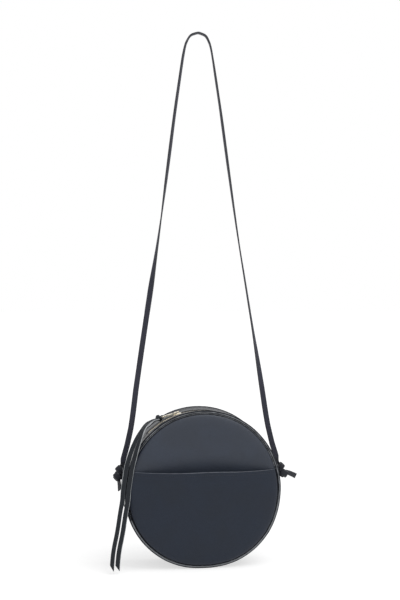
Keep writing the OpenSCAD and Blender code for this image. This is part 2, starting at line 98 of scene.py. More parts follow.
def xyz(x, y, z):
    return np.stack(np.broadcast_arrays(x, y, z), axis=-1)


def full_turn(count):
    return np.linspace(0, 2 * np.pi, count, endpoint=False)


def smooth(points, steps):
    """A smooth curve through the points, with so many steps between each two."""
    p = np.asarray(points, float)
    ends = np.concatenate([p[:1], p, p[-1:]])
    out = []
    for i in range(len(p) - 1):
        a, b, c, d = ends[i:i + 4]
        for t in np.arange(steps) / steps:
            out.append(0.5 * (2 * b + (c - a) * t + (2 * a - 5 * b + 4 * c - d) * t * t
                              + (3 * b - a - 3 * c + d) * t ** 3))
    return np.array(out + [p[-1]])


def along_of(path):
    return unit(np.gradient(path, axis=0))


def run_of(path):
    return np.concatenate([[0], np.cumsum(np.linalg.norm(np.diff(path, axis=0), axis=1))])


def read_at(s, run, table):
    """The rows of a table that goes along a path, read at the runs s."""
    return np.stack([np.interp(s, run, column) for column in table.T], axis=1)


def drift(a, b, seed, size):
    """An irregular smooth field from about -1 to 1, whose swells are about size apart."""
    draw = np.random.default_rng(seed)
    total = 0
    for _ in range(7):
        turn, phase = draw.uniform(0, 2 * np.pi, 2)
        rate = 2 * np.pi / size * draw.uniform(0.5, 1.6)
        total = total + np.sin(rate * (a * np.cos(turn) + b * np.sin(turn)) + phase)
    return total / 4


def on_ring(angle, radius, y):
    """Points by the angle round the ring in degrees, the radius and the depth."""
    a = np.radians(angle)
    return xyz(radius * np.cos(a), y, radius * np.sin(a))


def puckers(a, radius):
    """Waves round a seam where its stitches gather the leather."""
    return np.sin(a * radius / STITCH_RUN * np.pi)


# ---- Meshes: each builder returns points, faces, edge faces, and each point's lay and wear, which on the piping is a painted highlight ----

def loft_faces(count, around, closed=False):
    faces = []
    for i in range(count if closed else count - 1):
        a, b = i * around, (i + 1) % count * around
        faces += [(a + k, a + (k + 1) % around, b + (k + 1) % around, b + k)
                  for k in range(around)]
    return faces


# How far the sewn bag stands out from a true circle: it has settled wider at its lower corners.
SETTLED_AT = [-185, -165, -140, -118, -104, -92, -80, -66, -50, -34, -20, -8, 20, 90, 118, 130]
SETTLED_BY = [0, 1.8, 2.0, 1.9, 1.2, 0.3, 0.8, 2.3, 2.9, 2.7, 1.7, 1.0, 0.6, 0.8, 0.5, 0]


def settled(points):
    """Moves the outer parts of the bag's leather and lining out by the table. Beside the zip
    and the tabs only the seams move, and the back one a little more."""
    p = np.array(points, float)
    r, angle = np.hypot(p[:, 0], p[:, 2]), np.degrees(np.arctan2(p[:, 2], p[:, 0]))
    angle = np.where(angle > 150, angle - 360, angle)
    by = np.interp(angle, SETTLED_AT, SETTLED_BY) * rise(r, 45, 101)
    by = by * np.maximum(rise(angle, -6, -22), rise(np.abs(p[:, 1]), 19, 26))
    by = by + 0.6 * rise(p[:, 1], 19, 26) * rise(r, 90, 101) * rise(np.abs(angle - 80), 50, 25)
    p[:, [0, 2]] *= (1 + by / np.maximum(r, 1))[:, None]
    return p


def piece(name, built, materials, body, slot=None, *stands_for, worn_and_highlit=1.0):
    """One mesh that rides on a body, and stands for nodes. With more than one material, its
    edge faces take the second, or the one whose number they are listed under."""
    points, faces, edge_faces, lay, wear_and_highlight = built
    mesh = bpy.data.meshes.new(name)
    if body == "bag_body":
        points = settled(points)
    mesh.from_pydata(placed(points).tolist(), [], faces)
    for material in materials:
        mesh.materials.append(material)
    if len(materials) > 1:
        index = np.zeros(len(mesh.polygons), np.int32)
        listed = edge_faces if isinstance(edge_faces, dict) else {1: edge_faces}
        for number, chosen in listed.items():
            index[list(chosen)] = number
        mesh.polygons.foreach_set("material_index", index)
    for title, kind, field, values in (("lay", "FLOAT_VECTOR", "vector", lay),
                                       ("wear_and_highlight", "FLOAT", "value", wear_and_highlight * worn_and_highlit)):
        kept = mesh.attributes.new(title, kind, "POINT")
        kept.data.foreach_set(field, np.asarray(values, np.float32).ravel())
    turned = bmesh.new()
    turned.from_mesh(mesh)
    bmesh.ops.recalc_face_normals(turned, faces=turned.faces)
    turned.to_mesh(mesh)
    turned.free()
    mesh.polygons.foreach_set("use_smooth", np.ones(len(mesh.polygons), bool))
    mesh.set_sharp_from_angle(angle=math.radians(48))
    made = bpy.data.objects.new(name, mesh)
    scene.collection.objects.link(made)
    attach(made, body)
    if stands_for:
        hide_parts(*stands_for)
    return made


# How a sheet's edge turns from its face to its back: shares of the thickness in and outwards.
ROUND_EDGE = ((0.13, 0.34), (0.5, 0.5), (0.87, 0.34))
CUT_EDGE = ((0.1, 0.1), (0.5, 0.15), (0.9, 0.1))
SKIVED_EDGE = ((0.2, 0.28), (0.5, 0.4), (0.88, 0.3))


def shell(surface, thick, closed=False, edge=CUT_EDGE, flip=False, cut_ends=True,
          first_edge=None, pale=(True, True)):
    """Thickens a grid of points (u, v) away from its face, with a finished edge at both ends of
    v. The edge where v starts may have its own profile. Its edge faces are the edges at the
    last and the first v that pale names, and its cut ends."""
    nu, nv = surface.shape[:2]
    if closed:
        du = np.roll(surface, -1, 0) - np.roll(surface, 1, 0)
    else:
        du = np.gradient(surface, axis=0)
    dv = np.gradient(surface, axis=1)
    normal = unit(np.cross(du, dv)) * (-1 if flip else 1)
    t = np.broadcast_to(thick, (nu, nv))[..., None]
    rims = []
    for v, out, profile in ((-1, unit(dv[:, -1]), edge), (0, -unit(dv[:, 0]), first_edge or edge)):
        rim = [surface[:, v] - normal[:, v] * t[:, v] * down + out * t[:, v] * away
               for down, away in profile]
        rims.append(np.stack(rim if v else rim[::-1], axis=1))
    loops = np.concatenate([surface, rims[0], (surface - normal * t)[:, ::-1], rims[1]], axis=1)
    n = len(edge)
    around = 2 * nv + 2 * n
    sides = (list(range(nv - 1, nv + n)) * pale[0]
             + list(range(2 * nv + n - 1, around)) * pale[1])
    faces = loft_faces(nu, around, closed)
    bands = nu if closed else nu - 1
    edge_faces = [i * around + k for i in range(bands) for k in sides]
    if not closed:
        for start in (0, (nu - 1) * around):
            front = [start + k for k in range(nv)]
            back = [start + nv + n + nv - 1 - k for k in range(nv)]
            caps = [(front[k], front[k + 1], back[k + 1], back[k]) for k in range(nv - 1)]
            caps.append((front[-1], *(start + nv + k for k in range(n)), back[-1]))
            caps.append((back[0], *(start + 2 * nv + n + k for k in range(n)), front[0]))
            if cut_ends:
                edge_faces += range(len(faces), len(faces) + len(caps))
            faces += caps
    across = np.concatenate([np.zeros((nu, 1)), np.cumsum(np.linalg.norm(np.diff(
        surface, axis=1), axis=2), axis=1)], axis=1)
    flat = xyz(run_of(surface[:, nv // 2])[:, None], across, 0)
    lay = np.concatenate([flat, np.repeat(flat[:, -1:], n, 1), flat[:, ::-1],
                          np.repeat(flat[:, :1], n, 1)], axis=1)
    worn_and_highlit = np.exp(-np.minimum(across, across[:, -1:] - across) / WEAR_REACH)
    ones = np.ones((nu, n))
    wear_and_highlight = np.concatenate([worn_and_highlit, ones, worn_and_highlit[:, ::-1], ones], axis=1)
    return loops.reshape(-1, 3), faces, edge_faces, lay.reshape(-1, 3), wear_and_highlight.ravel()


def joined(parts):
    """Several built meshes as one."""
    faces, edge_faces, start = [], [], 0
    for points, own_faces, own_edges, _, _ in parts:
        edge_faces += [len(faces) + k for k in own_edges]
        faces += [tuple(start + k for k in face) for face in own_faces]
        start += len(points)
    points, lay, wear_and_highlight = (np.concatenate([part[k] for part in parts]) for k in (0, 3, 4))
    return points, faces, edge_faces, lay, wear_and_highlight


def mirrored(made, side):
    return made[0] * (side, 1, 1), *made[1:]


def strip(path, facing, width, thick, columns=7, crown=0.0, slant=0.0, edge=CUT_EDGE,
          **finish):
    """A flat strip whose face looks along facing. Its far end is cut at a slant."""
    along = along_of(path)
    facing = unit(facing - along * (facing * along).sum(1, keepdims=True))
    side = np.cross(along, facing)
    width, thick = (np.broadcast_to(size, len(path)) for size in (width, thick))
    v = np.linspace(-0.5, 0.5, columns)
    surface = (path[:, None] + side[:, None] * (width[:, None] * v)[..., None]
               + facing[:, None] * (thick[:, None] / 2 + crown * (1 - (2 * v) ** 2))[..., None])
    if slant:
        run = run_of(path)
        near_end = np.clip(1 - (run[-1] - run) / (1.5 * abs(slant)), 0, 1)
        surface += along[:, None] * (near_end[:, None] * slant * v)[..., None]
    return shell(surface, thick[:, None], edge=edge, flip=True, **finish)


def disc(loop, centre, rows, front, thick, side=-1, sewn=None, seam_rows=0):
    """A sheet inside a closed loop of (x, z) points. front(x, z) gives how far its face stands
    from the middle plane, towards -Y for side -1. Rows are shares from edge to centre. The
    loop's first points are sewn down; their edge faces and so many rows of the face beside the
    seam are listed under 2, which takes the painted shade of the seam, and the loose edge under 1."""
    centre = np.asarray(centre, float)
    n = len(loop)

    def face_and_back(x, z):
        f = front(x, z)
        t = thick(x, z) if callable(thick) else thick
        return xyz(x, side * f, z), xyz(x, side * (f - t), z)

    sheets = [face_and_back(*(loop + (centre - loop) * share).T) for share in rows]
    rings, backs = [face for face, _ in sheets], [back for _, back in sheets]
    edge_run = np.linalg.norm(loop - centre, axis=1)
    worn_and_highlit = [np.exp(-share * edge_run / WEAR_REACH) for share in rows]
    out = unit(loop - centre)
    out = xyz(out[:, 0], 0, out[:, 1])
    t = np.linalg.norm(rings[0] - backs[0], axis=1)[:, None]
    rim = [rings[0] + (backs[0] - rings[0]) * down + out * t * away * 0.6
           for down, away in ROUND_EDGE]
    tube = backs[::-1] + rim[::-1] + rings
    points = np.concatenate(tube + list(face_and_back(*centre[:, None]))[::-1])
    faces = loft_faces(len(tube), n)
    k, last, total = len(rows), (len(tube) - 1) * n, len(tube) * n
    sewn = n if sewn is None else sewn
    edge_faces = {1: [row * n + j for row in range(k - 1, k + len(rim)) for j in range(sewn, n)],
                  2: [row * n + j for row in range(k - 1, k + len(rim) + seam_rows)
                      for j in range(sewn)]}
    faces += [(total, (i + 1) % n, i) for i in range(n)]
    faces += [(total + 1, last + i, last + (i + 1) % n) for i in range(n)]
    wear_and_highlight = np.concatenate([*worn_and_highlit[::-1], np.ones(n * len(rim)), *worn_and_highlit, [0, 0]])
    return points, faces, edge_faces, points[:, [0, 2, 1]], wear_and_highlight


def tube(path, radius, sides=12, closed=False, facing=(0.0, 1.0, 0.0)):
    """A round tube along a path, with a radius that may change along it and around it."""
    n = len(path)
    along = unit(np.roll(path, -1, 0) - np.roll(path, 1, 0)) if closed else along_of(path)
    side = unit(np.cross(along, np.broadcast_to(facing, (n, 3))))
    up = np.cross(side, along)
    around = full_turn(sides)
    r = np.broadcast_to(radius, (n,))[:, None] if np.ndim(radius) < 2 else radius
    points = (path[:, None] + side[:, None] * (r * np.cos(around))[..., None]
              + up[:, None] * (r * np.sin(around))[..., None]).reshape(-1, 3)
    faces = loft_faces(n, sides, closed)
    if not closed:
        faces += [tuple(range(sides))[::-1], tuple(range((n - 1) * sides, n * sides))]
    lay = xyz(np.repeat(run_of(path), sides), np.tile(around, n), 0)
    return points, faces, [], lay, np.full(n * sides, 0.4)


# ---- Materials ----

def feed(tree, socket, value):
    """Links an output to a socket, or sets a plain value on it."""
    if isinstance(value, bpy.types.NodeSocket):
        tree.links.new(value, socket)
    else:
        socket.default_value = (*value[:3], 1) if isinstance(value, tuple) else value


def fill(tree, sockets, **values):
    """Feeds sockets by their names, with _ for a space."""
    for title, value in values.items():
        feed(tree, sockets[title.replace("_", " ")], value)


def node_in(tree, kind, inputs=(), **settings):
    """A node with its settings, and what goes into its inputs. Returns its outputs."""
    made = tree.nodes.new(kind)
    for name, value in settings.items():
        setattr(made, name, value)
    for key, value in dict(inputs).items():
        feed(tree, made.inputs[key], value)
    return made.outputs


def noise(tree, place, scale, detail, roughness=0.5):
    return node_in(tree, "ShaderNodeTexNoise", {"Vector": place, "Scale": scale,
                                                "Detail": detail, "Roughness": roughness})


def scaled(tree, vector, times):
    return node_in(tree, "ShaderNodeVectorMath", {0: vector, "Scale": times},
                   operation="SCALE")[0]


def sums(tree, operation, *values):
    return node_in(tree, "ShaderNodeMath", enumerate(values), operation=operation)[0]


def ramp(tree, value, low, high, to_low=0.0, to_high=1.0):
    return node_in(tree, "ShaderNodeMapRange", enumerate((value, low, high, to_low, to_high)),
                   interpolation_type="SMOOTHSTEP")[0]


def mixed(tree, factor, a, b):
    return node_in(tree, "ShaderNodeMix", {0: factor, 6: a, 7: b}, data_type="RGBA")[2]


def carried(tree, name):
    """An attribute that the meshes carry."""
    return node_in(tree, "ShaderNodeAttribute", attribute_name=name)


def effect(name, inputs, outputs):
    """A node group, and the sockets that start and end it."""
    group = bpy.data.node_groups.new(name, "ShaderNodeTree")
    for title, kind, value in inputs:
        socket = group.interface.new_socket(title, in_out="INPUT", socket_type=kind)
        if value is not None:
            socket.default_value = value
    for title, kind in outputs:
        group.interface.new_socket(title, in_out="OUTPUT", socket_type=kind)
    return (group, group.nodes.new("NodeGroupInput").outputs,
            group.nodes.new("NodeGroupOutput").inputs)


FLOAT, COLOR, VECTOR = "NodeSocketFloat", "NodeSocketColor", "NodeSocketVector"

# Leather: pebbles between fine creases, broken up by pores.
hide_grain, given, result = effect(
    "Hide Grain", [("Place", VECTOR, None), ("Pebbles per Metre", FLOAT, 1200.0)],
    [("Height", FLOAT), ("Crease", FLOAT)])
at = scaled(hide_grain, given["Place"], given["Pebbles per Metre"])
moved = node_in(hide_grain, "ShaderNodeMix",
                {0: 0.28, 4: at, 5: noise(hide_grain, at, 0.7, 2.0)["Color"]},
                data_type="VECTOR")[1]
cells = node_in(hide_grain, "ShaderNodeTexVoronoi", {"Vector": moved, "Scale": 1.35},
                feature="DISTANCE_TO_EDGE")
pebble = ramp(hide_grain, cells["Distance"], 0.0, 0.22)
pores = noise(hide_grain, at, 3.1, 3.0, 0.6)["Fac"]
fill(hide_grain, result, Height=sums(hide_grain, "MULTIPLY_ADD", pores, 0.35, pebble),
     Crease=ramp(hide_grain, pebble, 0.0, 0.7, 1.0, 0.0))

# Tone: slow changes of colour over a piece, as dyed hide and cloth have.
tone_drift, given, result = effect(
    "Tone Drift", [("Place", VECTOR, None), ("Color", COLOR, (1, 1, 1, 1)),
                   ("Amount", FLOAT, 0.15), ("Patches per Metre", FLOAT, 22.0)],
    [("Color", COLOR), ("Shade", FLOAT)])
at = scaled(tone_drift, given["Place"], given["Patches per Metre"])
shade = ramp(tone_drift, noise(tone_drift, at, 1.0, 4.0, 0.55)["Fac"], 0.3, 0.7, -1.0, 1.0)
level = sums(tone_drift, "MULTIPLY_ADD", shade, given["Amount"], 1.0)
fill(tone_drift, result, Color=scaled(tone_drift, given["Color"], level), Shade=shade)

# Wear and painted highlight: rubbed places along edges, and the painted highlight on the piping's
# crest, from the value that each mesh carries.
rubbed_and_highlit, given, result = effect(
    "Rubbed Edge and Painted Highlight", [("Place", VECTOR, None), ("Reach", FLOAT, 0.5)], [("Mask", FLOAT)])
patchy = noise(rubbed_and_highlit, given["Place"], 160.0, 4.0)["Fac"]
uneven = sums(rubbed_and_highlit, "MULTIPLY_ADD", patchy, 0.9,
              sums(rubbed_and_highlit, "SUBTRACT", carried(rubbed_and_highlit, "wear_and_highlight")["Fac"], given["Reach"]))
fill(rubbed_and_highlit, result, Mask=ramp(rubbed_and_highlit, uneven, 0.35, 0.95))

# Cloth: crossing threads, laid by the lay that each mesh carries, in millimetres.
weave, given, result = effect(
    "Crossing Threads", [("Lay", VECTOR, None), ("Threads per Millimetre", FLOAT, 2.2),
                         ("Slant", FLOAT, 0.0)], [("Height", FLOAT)])
along, across, _ = node_in(weave, "ShaderNodeSeparateXYZ", {
    0: scaled(weave, given["Lay"], given["Threads per Millimetre"])})
zigzag = sums(weave, "PINGPONG", across, 4.0)
along = sums(weave, "MULTIPLY_ADD", zigzag, given["Slant"], along)
warp, weft = (sums(weave, "SINE", sums(weave, "MULTIPLY", way, 2 * math.pi))
              for way in (along, across))
fill(weave, result, Height=ramp(weave, sums(weave, "MULTIPLY", warp, weft), -1.0, 1.0))


def material(name, color, roughness, specular=0.5, metallic=0.0):
    """A material, its tree, its shader's inputs, and the place on the object."""
    made = bpy.data.materials.new(name)
    made.use_nodes = True
    tree = made.node_tree
    shader = tree.nodes["Principled BSDF"].inputs
    fill(tree, shader, Base_Color=color, Roughness=roughness, Specular_IOR_Level=specular,
         Metallic=metallic)
    return made, tree, shader, node_in(tree, "ShaderNodeTexCoord")["Object"]


def grouped(tree, group, **values):
    made = tree.nodes.new("ShaderNodeGroup")
    made.node_tree = group
    fill(tree, made.inputs, **values)
    return made.outputs


def toned(tree, place, color, amount, patches):
    return grouped(tree, tone_drift, Place=place, Color=color, Amount=amount,
                   Patches_per_Metre=patches)


def bump(tree, height, strength, distance):
    return node_in(tree, "ShaderNodeBump", {
        "Strength": strength, "Distance": distance, "Height": height})[0]


def leather(name, color, worn_and_highlit, roughness=0.5, specular=0.5, pebbles=1200.0, reach=0.75):
    made, tree, shader, place = material(name, color, roughness, specular)
    grain = grouped(tree, hide_grain, Place=place, Pebbles_per_Metre=pebbles)
    tone = toned(tree, place, color, 0.14, 22.0)
    rub_and_highlight = grouped(tree, rubbed_and_highlit, Place=place, Reach=reach)
    # The grain's creases are painted darker: painted shade in the creases.
    crease_shaded = mixed(tree, sums(tree, "MULTIPLY", grain["Crease"], 0.35), tone["Color"],
                    tuple(c * 0.45 for c in color))
    matt = sums(tree, "MULTIPLY_ADD", grain["Crease"], 0.16, roughness - 0.04)
    fill(tree, shader, Normal=bump(tree, grain["Height"], 0.5, 0.00005),
         Base_Color=mixed(tree, sums(tree, "MULTIPLY", rub_and_highlight["Mask"], 0.7), crease_shaded, worn_and_highlit),
         Roughness=sums(tree, "MULTIPLY_ADD", tone["Shade"], 0.035, matt))
    return made


def edge_paint(name, color, roughness=0.42, specular=0.5):
    """Burnished or painted cut edge: fibres in it, under a thin film."""
    made, tree, shader, place = material(name, color, roughness, specular)
    fibre = noise(tree, place, 900.0, 5.0, 0.65)["Fac"]
    fill(tree, shader, Normal=bump(tree, fibre, 0.5, 0.0001),
         Base_Color=toned(tree, place, color, 0.3, 140.0)["Color"],
         Roughness=sums(tree, "MULTIPLY_ADD", fibre, 0.25, roughness - 0.1))
    return made


def cloth(name, color, gap_shade, per_mm, slant, depth, sheen=0.0):
    made, tree, shader, place = material(name, color, 0.8, 0.3)
    threads = grouped(tree, weave, Lay=carried(tree, "lay")["Vector"],
                      Threads_per_Millimetre=per_mm, Slant=slant)["Height"]
    # Where the threads sink, the colour turns to the gap shade: painted shade in the gaps of the
    # weave.
    fill(tree, shader, Normal=bump(tree, threads, 0.7, depth), Sheen_Weight=sheen,
         Base_Color=mixed(tree, ramp(tree, threads, 0.0, 0.6, 1.0, 0.0),
                          toned(tree, place, color, 0.12, 60.0)["Color"], gap_shade))
    return made


def metal(name, color, roughness):
    made, tree, shader, place = material(name, color, roughness, 0.5, 1.0)
    brushed = noise(tree, place, 420.0, 3.0)["Fac"]
    fill(tree, shader, Normal=bump(tree, brushed, 0.06, 0.00002),
         Base_Color=toned(tree, place, color, 0.05, 300.0)["Color"],
         Roughness=ramp(tree, brushed, 0.3, 0.75, roughness * 0.7, roughness * 1.5))
    return made


def twine(name, color, gap_shade):
    made, tree, shader, _ = material(name, color, 0.7, 0.3)
    run, around, _ = node_in(tree, "ShaderNodeSeparateXYZ", {0: carried(tree, "lay")["Vector"]})
    turn = sums(tree, "MULTIPLY_ADD", run, 5.0, sums(tree, "MULTIPLY", around, 2.0))
    twist = sums(tree, "SINE", turn)
    # In the grooves of the twist the colour turns to the gap shade: painted shade in the grooves.
    fill(tree, shader, Normal=bump(tree, twist, 0.6, 0.00012),
         Base_Color=mixed(tree, ramp(tree, twist, -1.0, 0.4), gap_shade, color))
    return made


panel_leather = leather("navy panel leather", (0.0195, 0.027, 0.044), (0.06, 0.07, 0.09),
                        specular=0.45)
# The pocket is the panel's hide painted darker: painted shade, as the pocket mostly faces down,
# away from the overhead light.
shaded_pocket_leather = leather("navy pocket leather, painted darker", (0.0092, 0.0148, 0.0275), (0.08, 0.09, 0.11),
                         specular=0.28)
# The gusset and the zip strips are the panel's hide painted lighter: painted light of the overhead
# lamp's sheen on their upward faces.
lit_gusset_leather = leather("navy gusset leather, painted lighter", (0.05, 0.053, 0.06), (0.105, 0.112, 0.128),
                         roughness=0.42)
# The piping's near-black base is painted shade on the tube's sides, and its pale worn colour is
# the painted highlight on its crest.
piping_leather = leather("navy piping leather, painted shade and highlight", (0.0065, 0.0085, 0.013), (0.34, 0.355, 0.38),
                         0.58, 0.12, 1500.0, 0.48)
trim_leather = leather("navy trim leather", (0.014, 0.017, 0.024), (0.1, 0.11, 0.125),
                       0.45, 0.4, 1500.0)
strap_leather = leather("navy strap leather", (0.034, 0.035, 0.05), (0.056, 0.058, 0.074),
                        0.6, 0.22, 1500.0)
knot_leather = leather("navy knot leather", (0.014, 0.015, 0.021), (0.055, 0.058, 0.066),
                       0.55, 0.25, 1500.0, 0.6)
lace_leather = leather("navy lace leather", (0.0125, 0.0155, 0.02), (0.06, 0.065, 0.075),
                       0.55, 0.22, 1500.0)
dark_edge = edge_paint("painted edge", (0.012, 0.014, 0.02))
# Near-black for the faces in and beside the seams: painted shade in the seam's groove.
seam_shade = edge_paint("painted seam shade", (0.004, 0.005, 0.008), 0.7, 0.08)
raw_edge = edge_paint("pale cut edge", (0.34, 0.355, 0.37))
hem_edge = edge_paint("pocket edge", (0.07, 0.078, 0.098))
lining_cloth = cloth("lining cloth", (0.2, 0.19, 0.17), (0.09, 0.085, 0.075), 2.6, 0.0, 0.00008)
tape_cloth = cloth("zip tape cloth", (0.055, 0.055, 0.062), (0.024, 0.024, 0.028), 1.8, 1.0,
                   0.00012, sheen=0.2)
cord_twine = twine("cotton cord", (0.6, 0.57, 0.5), (0.3, 0.28, 0.24))
thread_twine = twine("navy thread", (0.04, 0.045, 0.06), (0.012, 0.014, 0.02))
brass = metal("pale brass", (1.0, 0.92, 0.74), 0.17)
tooth_brass = metal("dulled brass", (0.6, 0.52, 0.36), 0.3)


# ---- Floor, light and camera ----

def plainly_seen(tree):
    """Whether a ray comes from the camera, and whether from it or from what mirrors it."""
    ray = node_in(tree, "ShaderNodeLightPath")
    return ray["Is Camera Ray"], sums(
        tree, "MAXIMUM", ray["Is Camera Ray"],
        sums(tree, "MAXIMUM", ray["Is Glossy Ray"], ray["Is Transmission Ray"]))


# The background is plain white to the eye and to what mirrors it. The floor keeps its shadow.
FLOOR_GLOW, WORLD_LEVEL = 0.62, 0.42
white = bpy.data.materials.new("white floor")
white.use_nodes = True
ground = white.node_tree
ground.nodes.clear()
by_camera, either = plainly_seen(ground)
diffuse = node_in(ground, "ShaderNodeBsdfDiffuse", {
    "Color": mixed(ground, by_camera, (0.8, 0.8, 0.8), (0.5, 0.5, 0.5))})[0]
glow = node_in(ground, "ShaderNodeEmission", {
    "Strength": sums(ground, "MULTIPLY", either, FLOOR_GLOW)})[0]
node_in(ground, "ShaderNodeOutputMaterial", {
    "Surface": node_in(ground, "ShaderNodeAddShader", {0: diffuse, 1: glow})[0]})
floor_mesh = bpy.data.meshes.new("floor")
floor_mesh.from_pydata([(30 * math.cos(a), 30 * math.sin(a), cad_low[2] - 0.0002)
                        for a in full_turn(64)], [], [tuple(range(64))])
floor_mesh.materials.append(white)
floor = bpy.data.objects.new("floor", floor_mesh)
scene.collection.objects.link(floor)

world = bpy.data.worlds.new("studio")
scene.world = world
world.use_nodes = True
sky = world.node_tree
level = node_in(sky, "ShaderNodeMapRange", {0: plainly_seen(sky)[1], 3: WORLD_LEVEL, 4: 1.0})
fill(sky, sky.nodes["Background"].inputs, Strength=level[0], Color=(1, 1, 1))


def soft_sun(name, strength, spread, tilt, turn):
    """A broad even light. Tilt is from straight down, and turn goes round from the front."""
    lamp = bpy.data.lights.new(name, "SUN")
    lamp.energy, lamp.angle = strength, math.radians(spread)
    made = bpy.data.objects.new(name, lamp)
    made.rotation_euler = (math.radians(tilt), 0, math.radians(turn))
    scene.collection.objects.link(made)


soft_sun("overhead", 1.25, 42, 22, 58)
soft_sun("front left", 0.3, 60, 54, -30)
soft_sun("front right", 0.52, 60, 54, 40)

eye = bpy.data.cameras.new("eye")
eye.lens, eye.sensor_width = 62.91, 36
camera = bpy.data.objects.new("eye", eye)
camera.location = placed((-212.8, -1417.2, 253.9))
camera.rotation_euler = (math.radians(90), math.radians(0.1), math.radians(-8.532))
scene.collection.objects.link(camera)
scene.camera = camera
scene.view_settings.view_transform = "Standard"


# ---- Panels and pocket ----

def circle(radius, a):
    return np.stack([radius * np.cos(a), radius * np.sin(a)], axis=1)


def seam_pull(x, z, seed):
    """Small puckers where the seam's stitches gather the leather, fading inwards."""
    r, a = np.hypot(x, z), np.arctan2(z, x)
    inside = np.clip(PANEL_EDGE_R - r, 0, None)
    strength = 0.55 + 0.45 * drift(a * 30, a * 7, seed, 9.0)
    return (0.55 * strength * puckers(a, PANEL_EDGE_R) * np.exp(-inside / 3.2)
            * rise(inside, 0.0, 1.2))


def lie(x, z, seam_seed, *swells):
    """How a sheet departs from its plain form, none of it at the very seam: puckers, and slow
    swells by their heights, seeds and sizes."""
    swell = sum(height * drift(x, z, seed, size) for height, seed, size in swells)
    return (swell + seam_pull(x, z, seam_seed)) * rise(PANEL_EDGE_R - np.hypot(x, z), 0, 6)


def domed(r):
    return np.clip(1 - (r / PANEL_EDGE_R) ** 2, 0, 1) ** 0.85


def crowned(x, z, edge_f, lift, crown, share=0.36, length=5.5):
    """A panel that swells out of its seam: a quick shoulder, a rolled one, and a slow crown.

    share is the part of the crown that the rolled shoulder takes, and length how wide it is.
    """
    r = np.hypot(x, z)
    inside = np.clip(PANEL_EDGE_R - r, 0, None)
    shoulder = 1 - np.exp(-inside / 0.9)
    rolled = 1 - np.exp(-inside / length)
    return edge_f + lift * shoulder + crown * (share * rolled + (1 - share) * domed(r))


def pocket_edge_z(x):
    return (POCKET_Z - POCKET_SAG * (1 - (x / RING_R) ** 2) + 1.4 * np.exp(-((x - 10) / 30) ** 2)
            - 0.004 * x)


def front_panel_f(x, z):
    above = z - pocket_edge_z(x)
    across = np.clip(1 - (x / 98.0) ** 2, 0, 1)
    dip = 5.6 * across ** 0.5 * rise(above, 25.0, -2.0)
    return (crowned(x, z, PANEL_F, 2.1, FRONT_CROWN, share=0.6, length=6.5) - dip
            + lie(x, z, 3, (0.16, 11, 70.0), (0.05, 12, 18.0)))


def pocket_f(x, z):
    f = crowned(x, z, POCKET_F, 2.0, FRONT_CROWN) + POCKET_STAND * domed(np.hypot(x, z))
    below = pocket_edge_z(x) - z
    hem = 0.35 * rise(below, 11.0, 9.6) - 0.2 * np.exp(-((below - HEM_DOWN) / 0.55) ** 2)
    slack = 0.5 * np.sin(x / 31.0 + 0.6) * np.exp(-below / 9.0)
    return (f + (hem + slack) * rise(PANEL_EDGE_R - np.hypot(x, z), 0, 9)
            + lie(x, z, 4, (0.22, 21, 80.0), (0.06, 22, 20.0)))


def pocket_thick(x, z):
    return LEATHER_T + 0.9 * rise(pocket_edge_z(x) - z, 10.4, 9.4)


def back_panel_f(x, z):
    f = crowned(x, z, PANEL_F, BACK_LIFT, BACK_CROWN)
    flat = PANEL_F + BACK_LIFT + BACK_CROWN * 0.78
    return np.minimum(f, flat + (f - flat) * 0.25) + lie(x, z, 5, (0.18, 31, 75.0))


PANELS = ((-1, "front", front_panel_f), (1, "back", back_panel_f))
PANEL_ROWS = [0, 0.0035, 0.007, 0.012, 0.02, 0.027, 0.035, 0.045, 0.058, 0.075, 0.1, 0.13,
              0.165, 0.2, 0.24, 0.28, 0.32, 0.36, 0.4, 0.44, 0.48, 0.52, 0.56, 0.6, 0.65, 0.7,
              0.75, 0.8, 0.85, 0.9, 0.95]
# The panels' rows beside the seam take the painted seam shade.
for side, word, panel_f in PANELS:
    piece(word + "_panel_leather",
          disc(circle(PANEL_EDGE_R, full_turn(600)), (0, 0), PANEL_ROWS, panel_f, LEATHER_T, side,
               seam_rows=3),
          [panel_leather, dark_edge, seam_shade], "bag_body", "leather", word + "_panel",
          worn_and_highlit=0.3)


def pocket_corner(side):
    """Where the pocket's edge meets the seam: its x and its angle."""
    x = 97.0
    for _ in range(20):
        x = math.sqrt(PANEL_EDGE_R ** 2 - pocket_edge_z(side * x) ** 2)
    return side * x, math.atan2(pocket_edge_z(side * x), side * x)


(left_x, left_angle), (right_x, right_angle) = pocket_corner(-1), pocket_corner(1)
arc = circle(PANEL_EDGE_R, np.linspace(left_angle, 2 * math.pi + right_angle, 300))
mouth_x = np.linspace(right_x, left_x, 170)[1:-1]
mouth = np.stack([mouth_x, pocket_edge_z(mouth_x)], axis=1)
POCKET_ROWS = [0, 0.004, 0.009, 0.017, 0.03, 0.045, 0.06, 0.072, 0.084, 0.1, 0.12, 0.145, 0.175,
               0.2, 0.23, 0.27, 0.31, 0.36, 0.41, 0.46, 0.51, 0.56, 0.61, 0.66, 0.71, 0.76,
               0.81, 0.86, 0.91, 0.96]
# The pocket's rows beside its seam take the painted seam shade.
piece("shaded_pocket_leather",
      disc(np.concatenate([arc, mouth]), (0, -36), POCKET_ROWS, pocket_f, pocket_thick,
           sewn=len(arc) - 1, seam_rows=3),
      [shaded_pocket_leather, hem_edge, seam_shade], "bag_body", "leather", "front_pocket")


# ---- Stitches ----

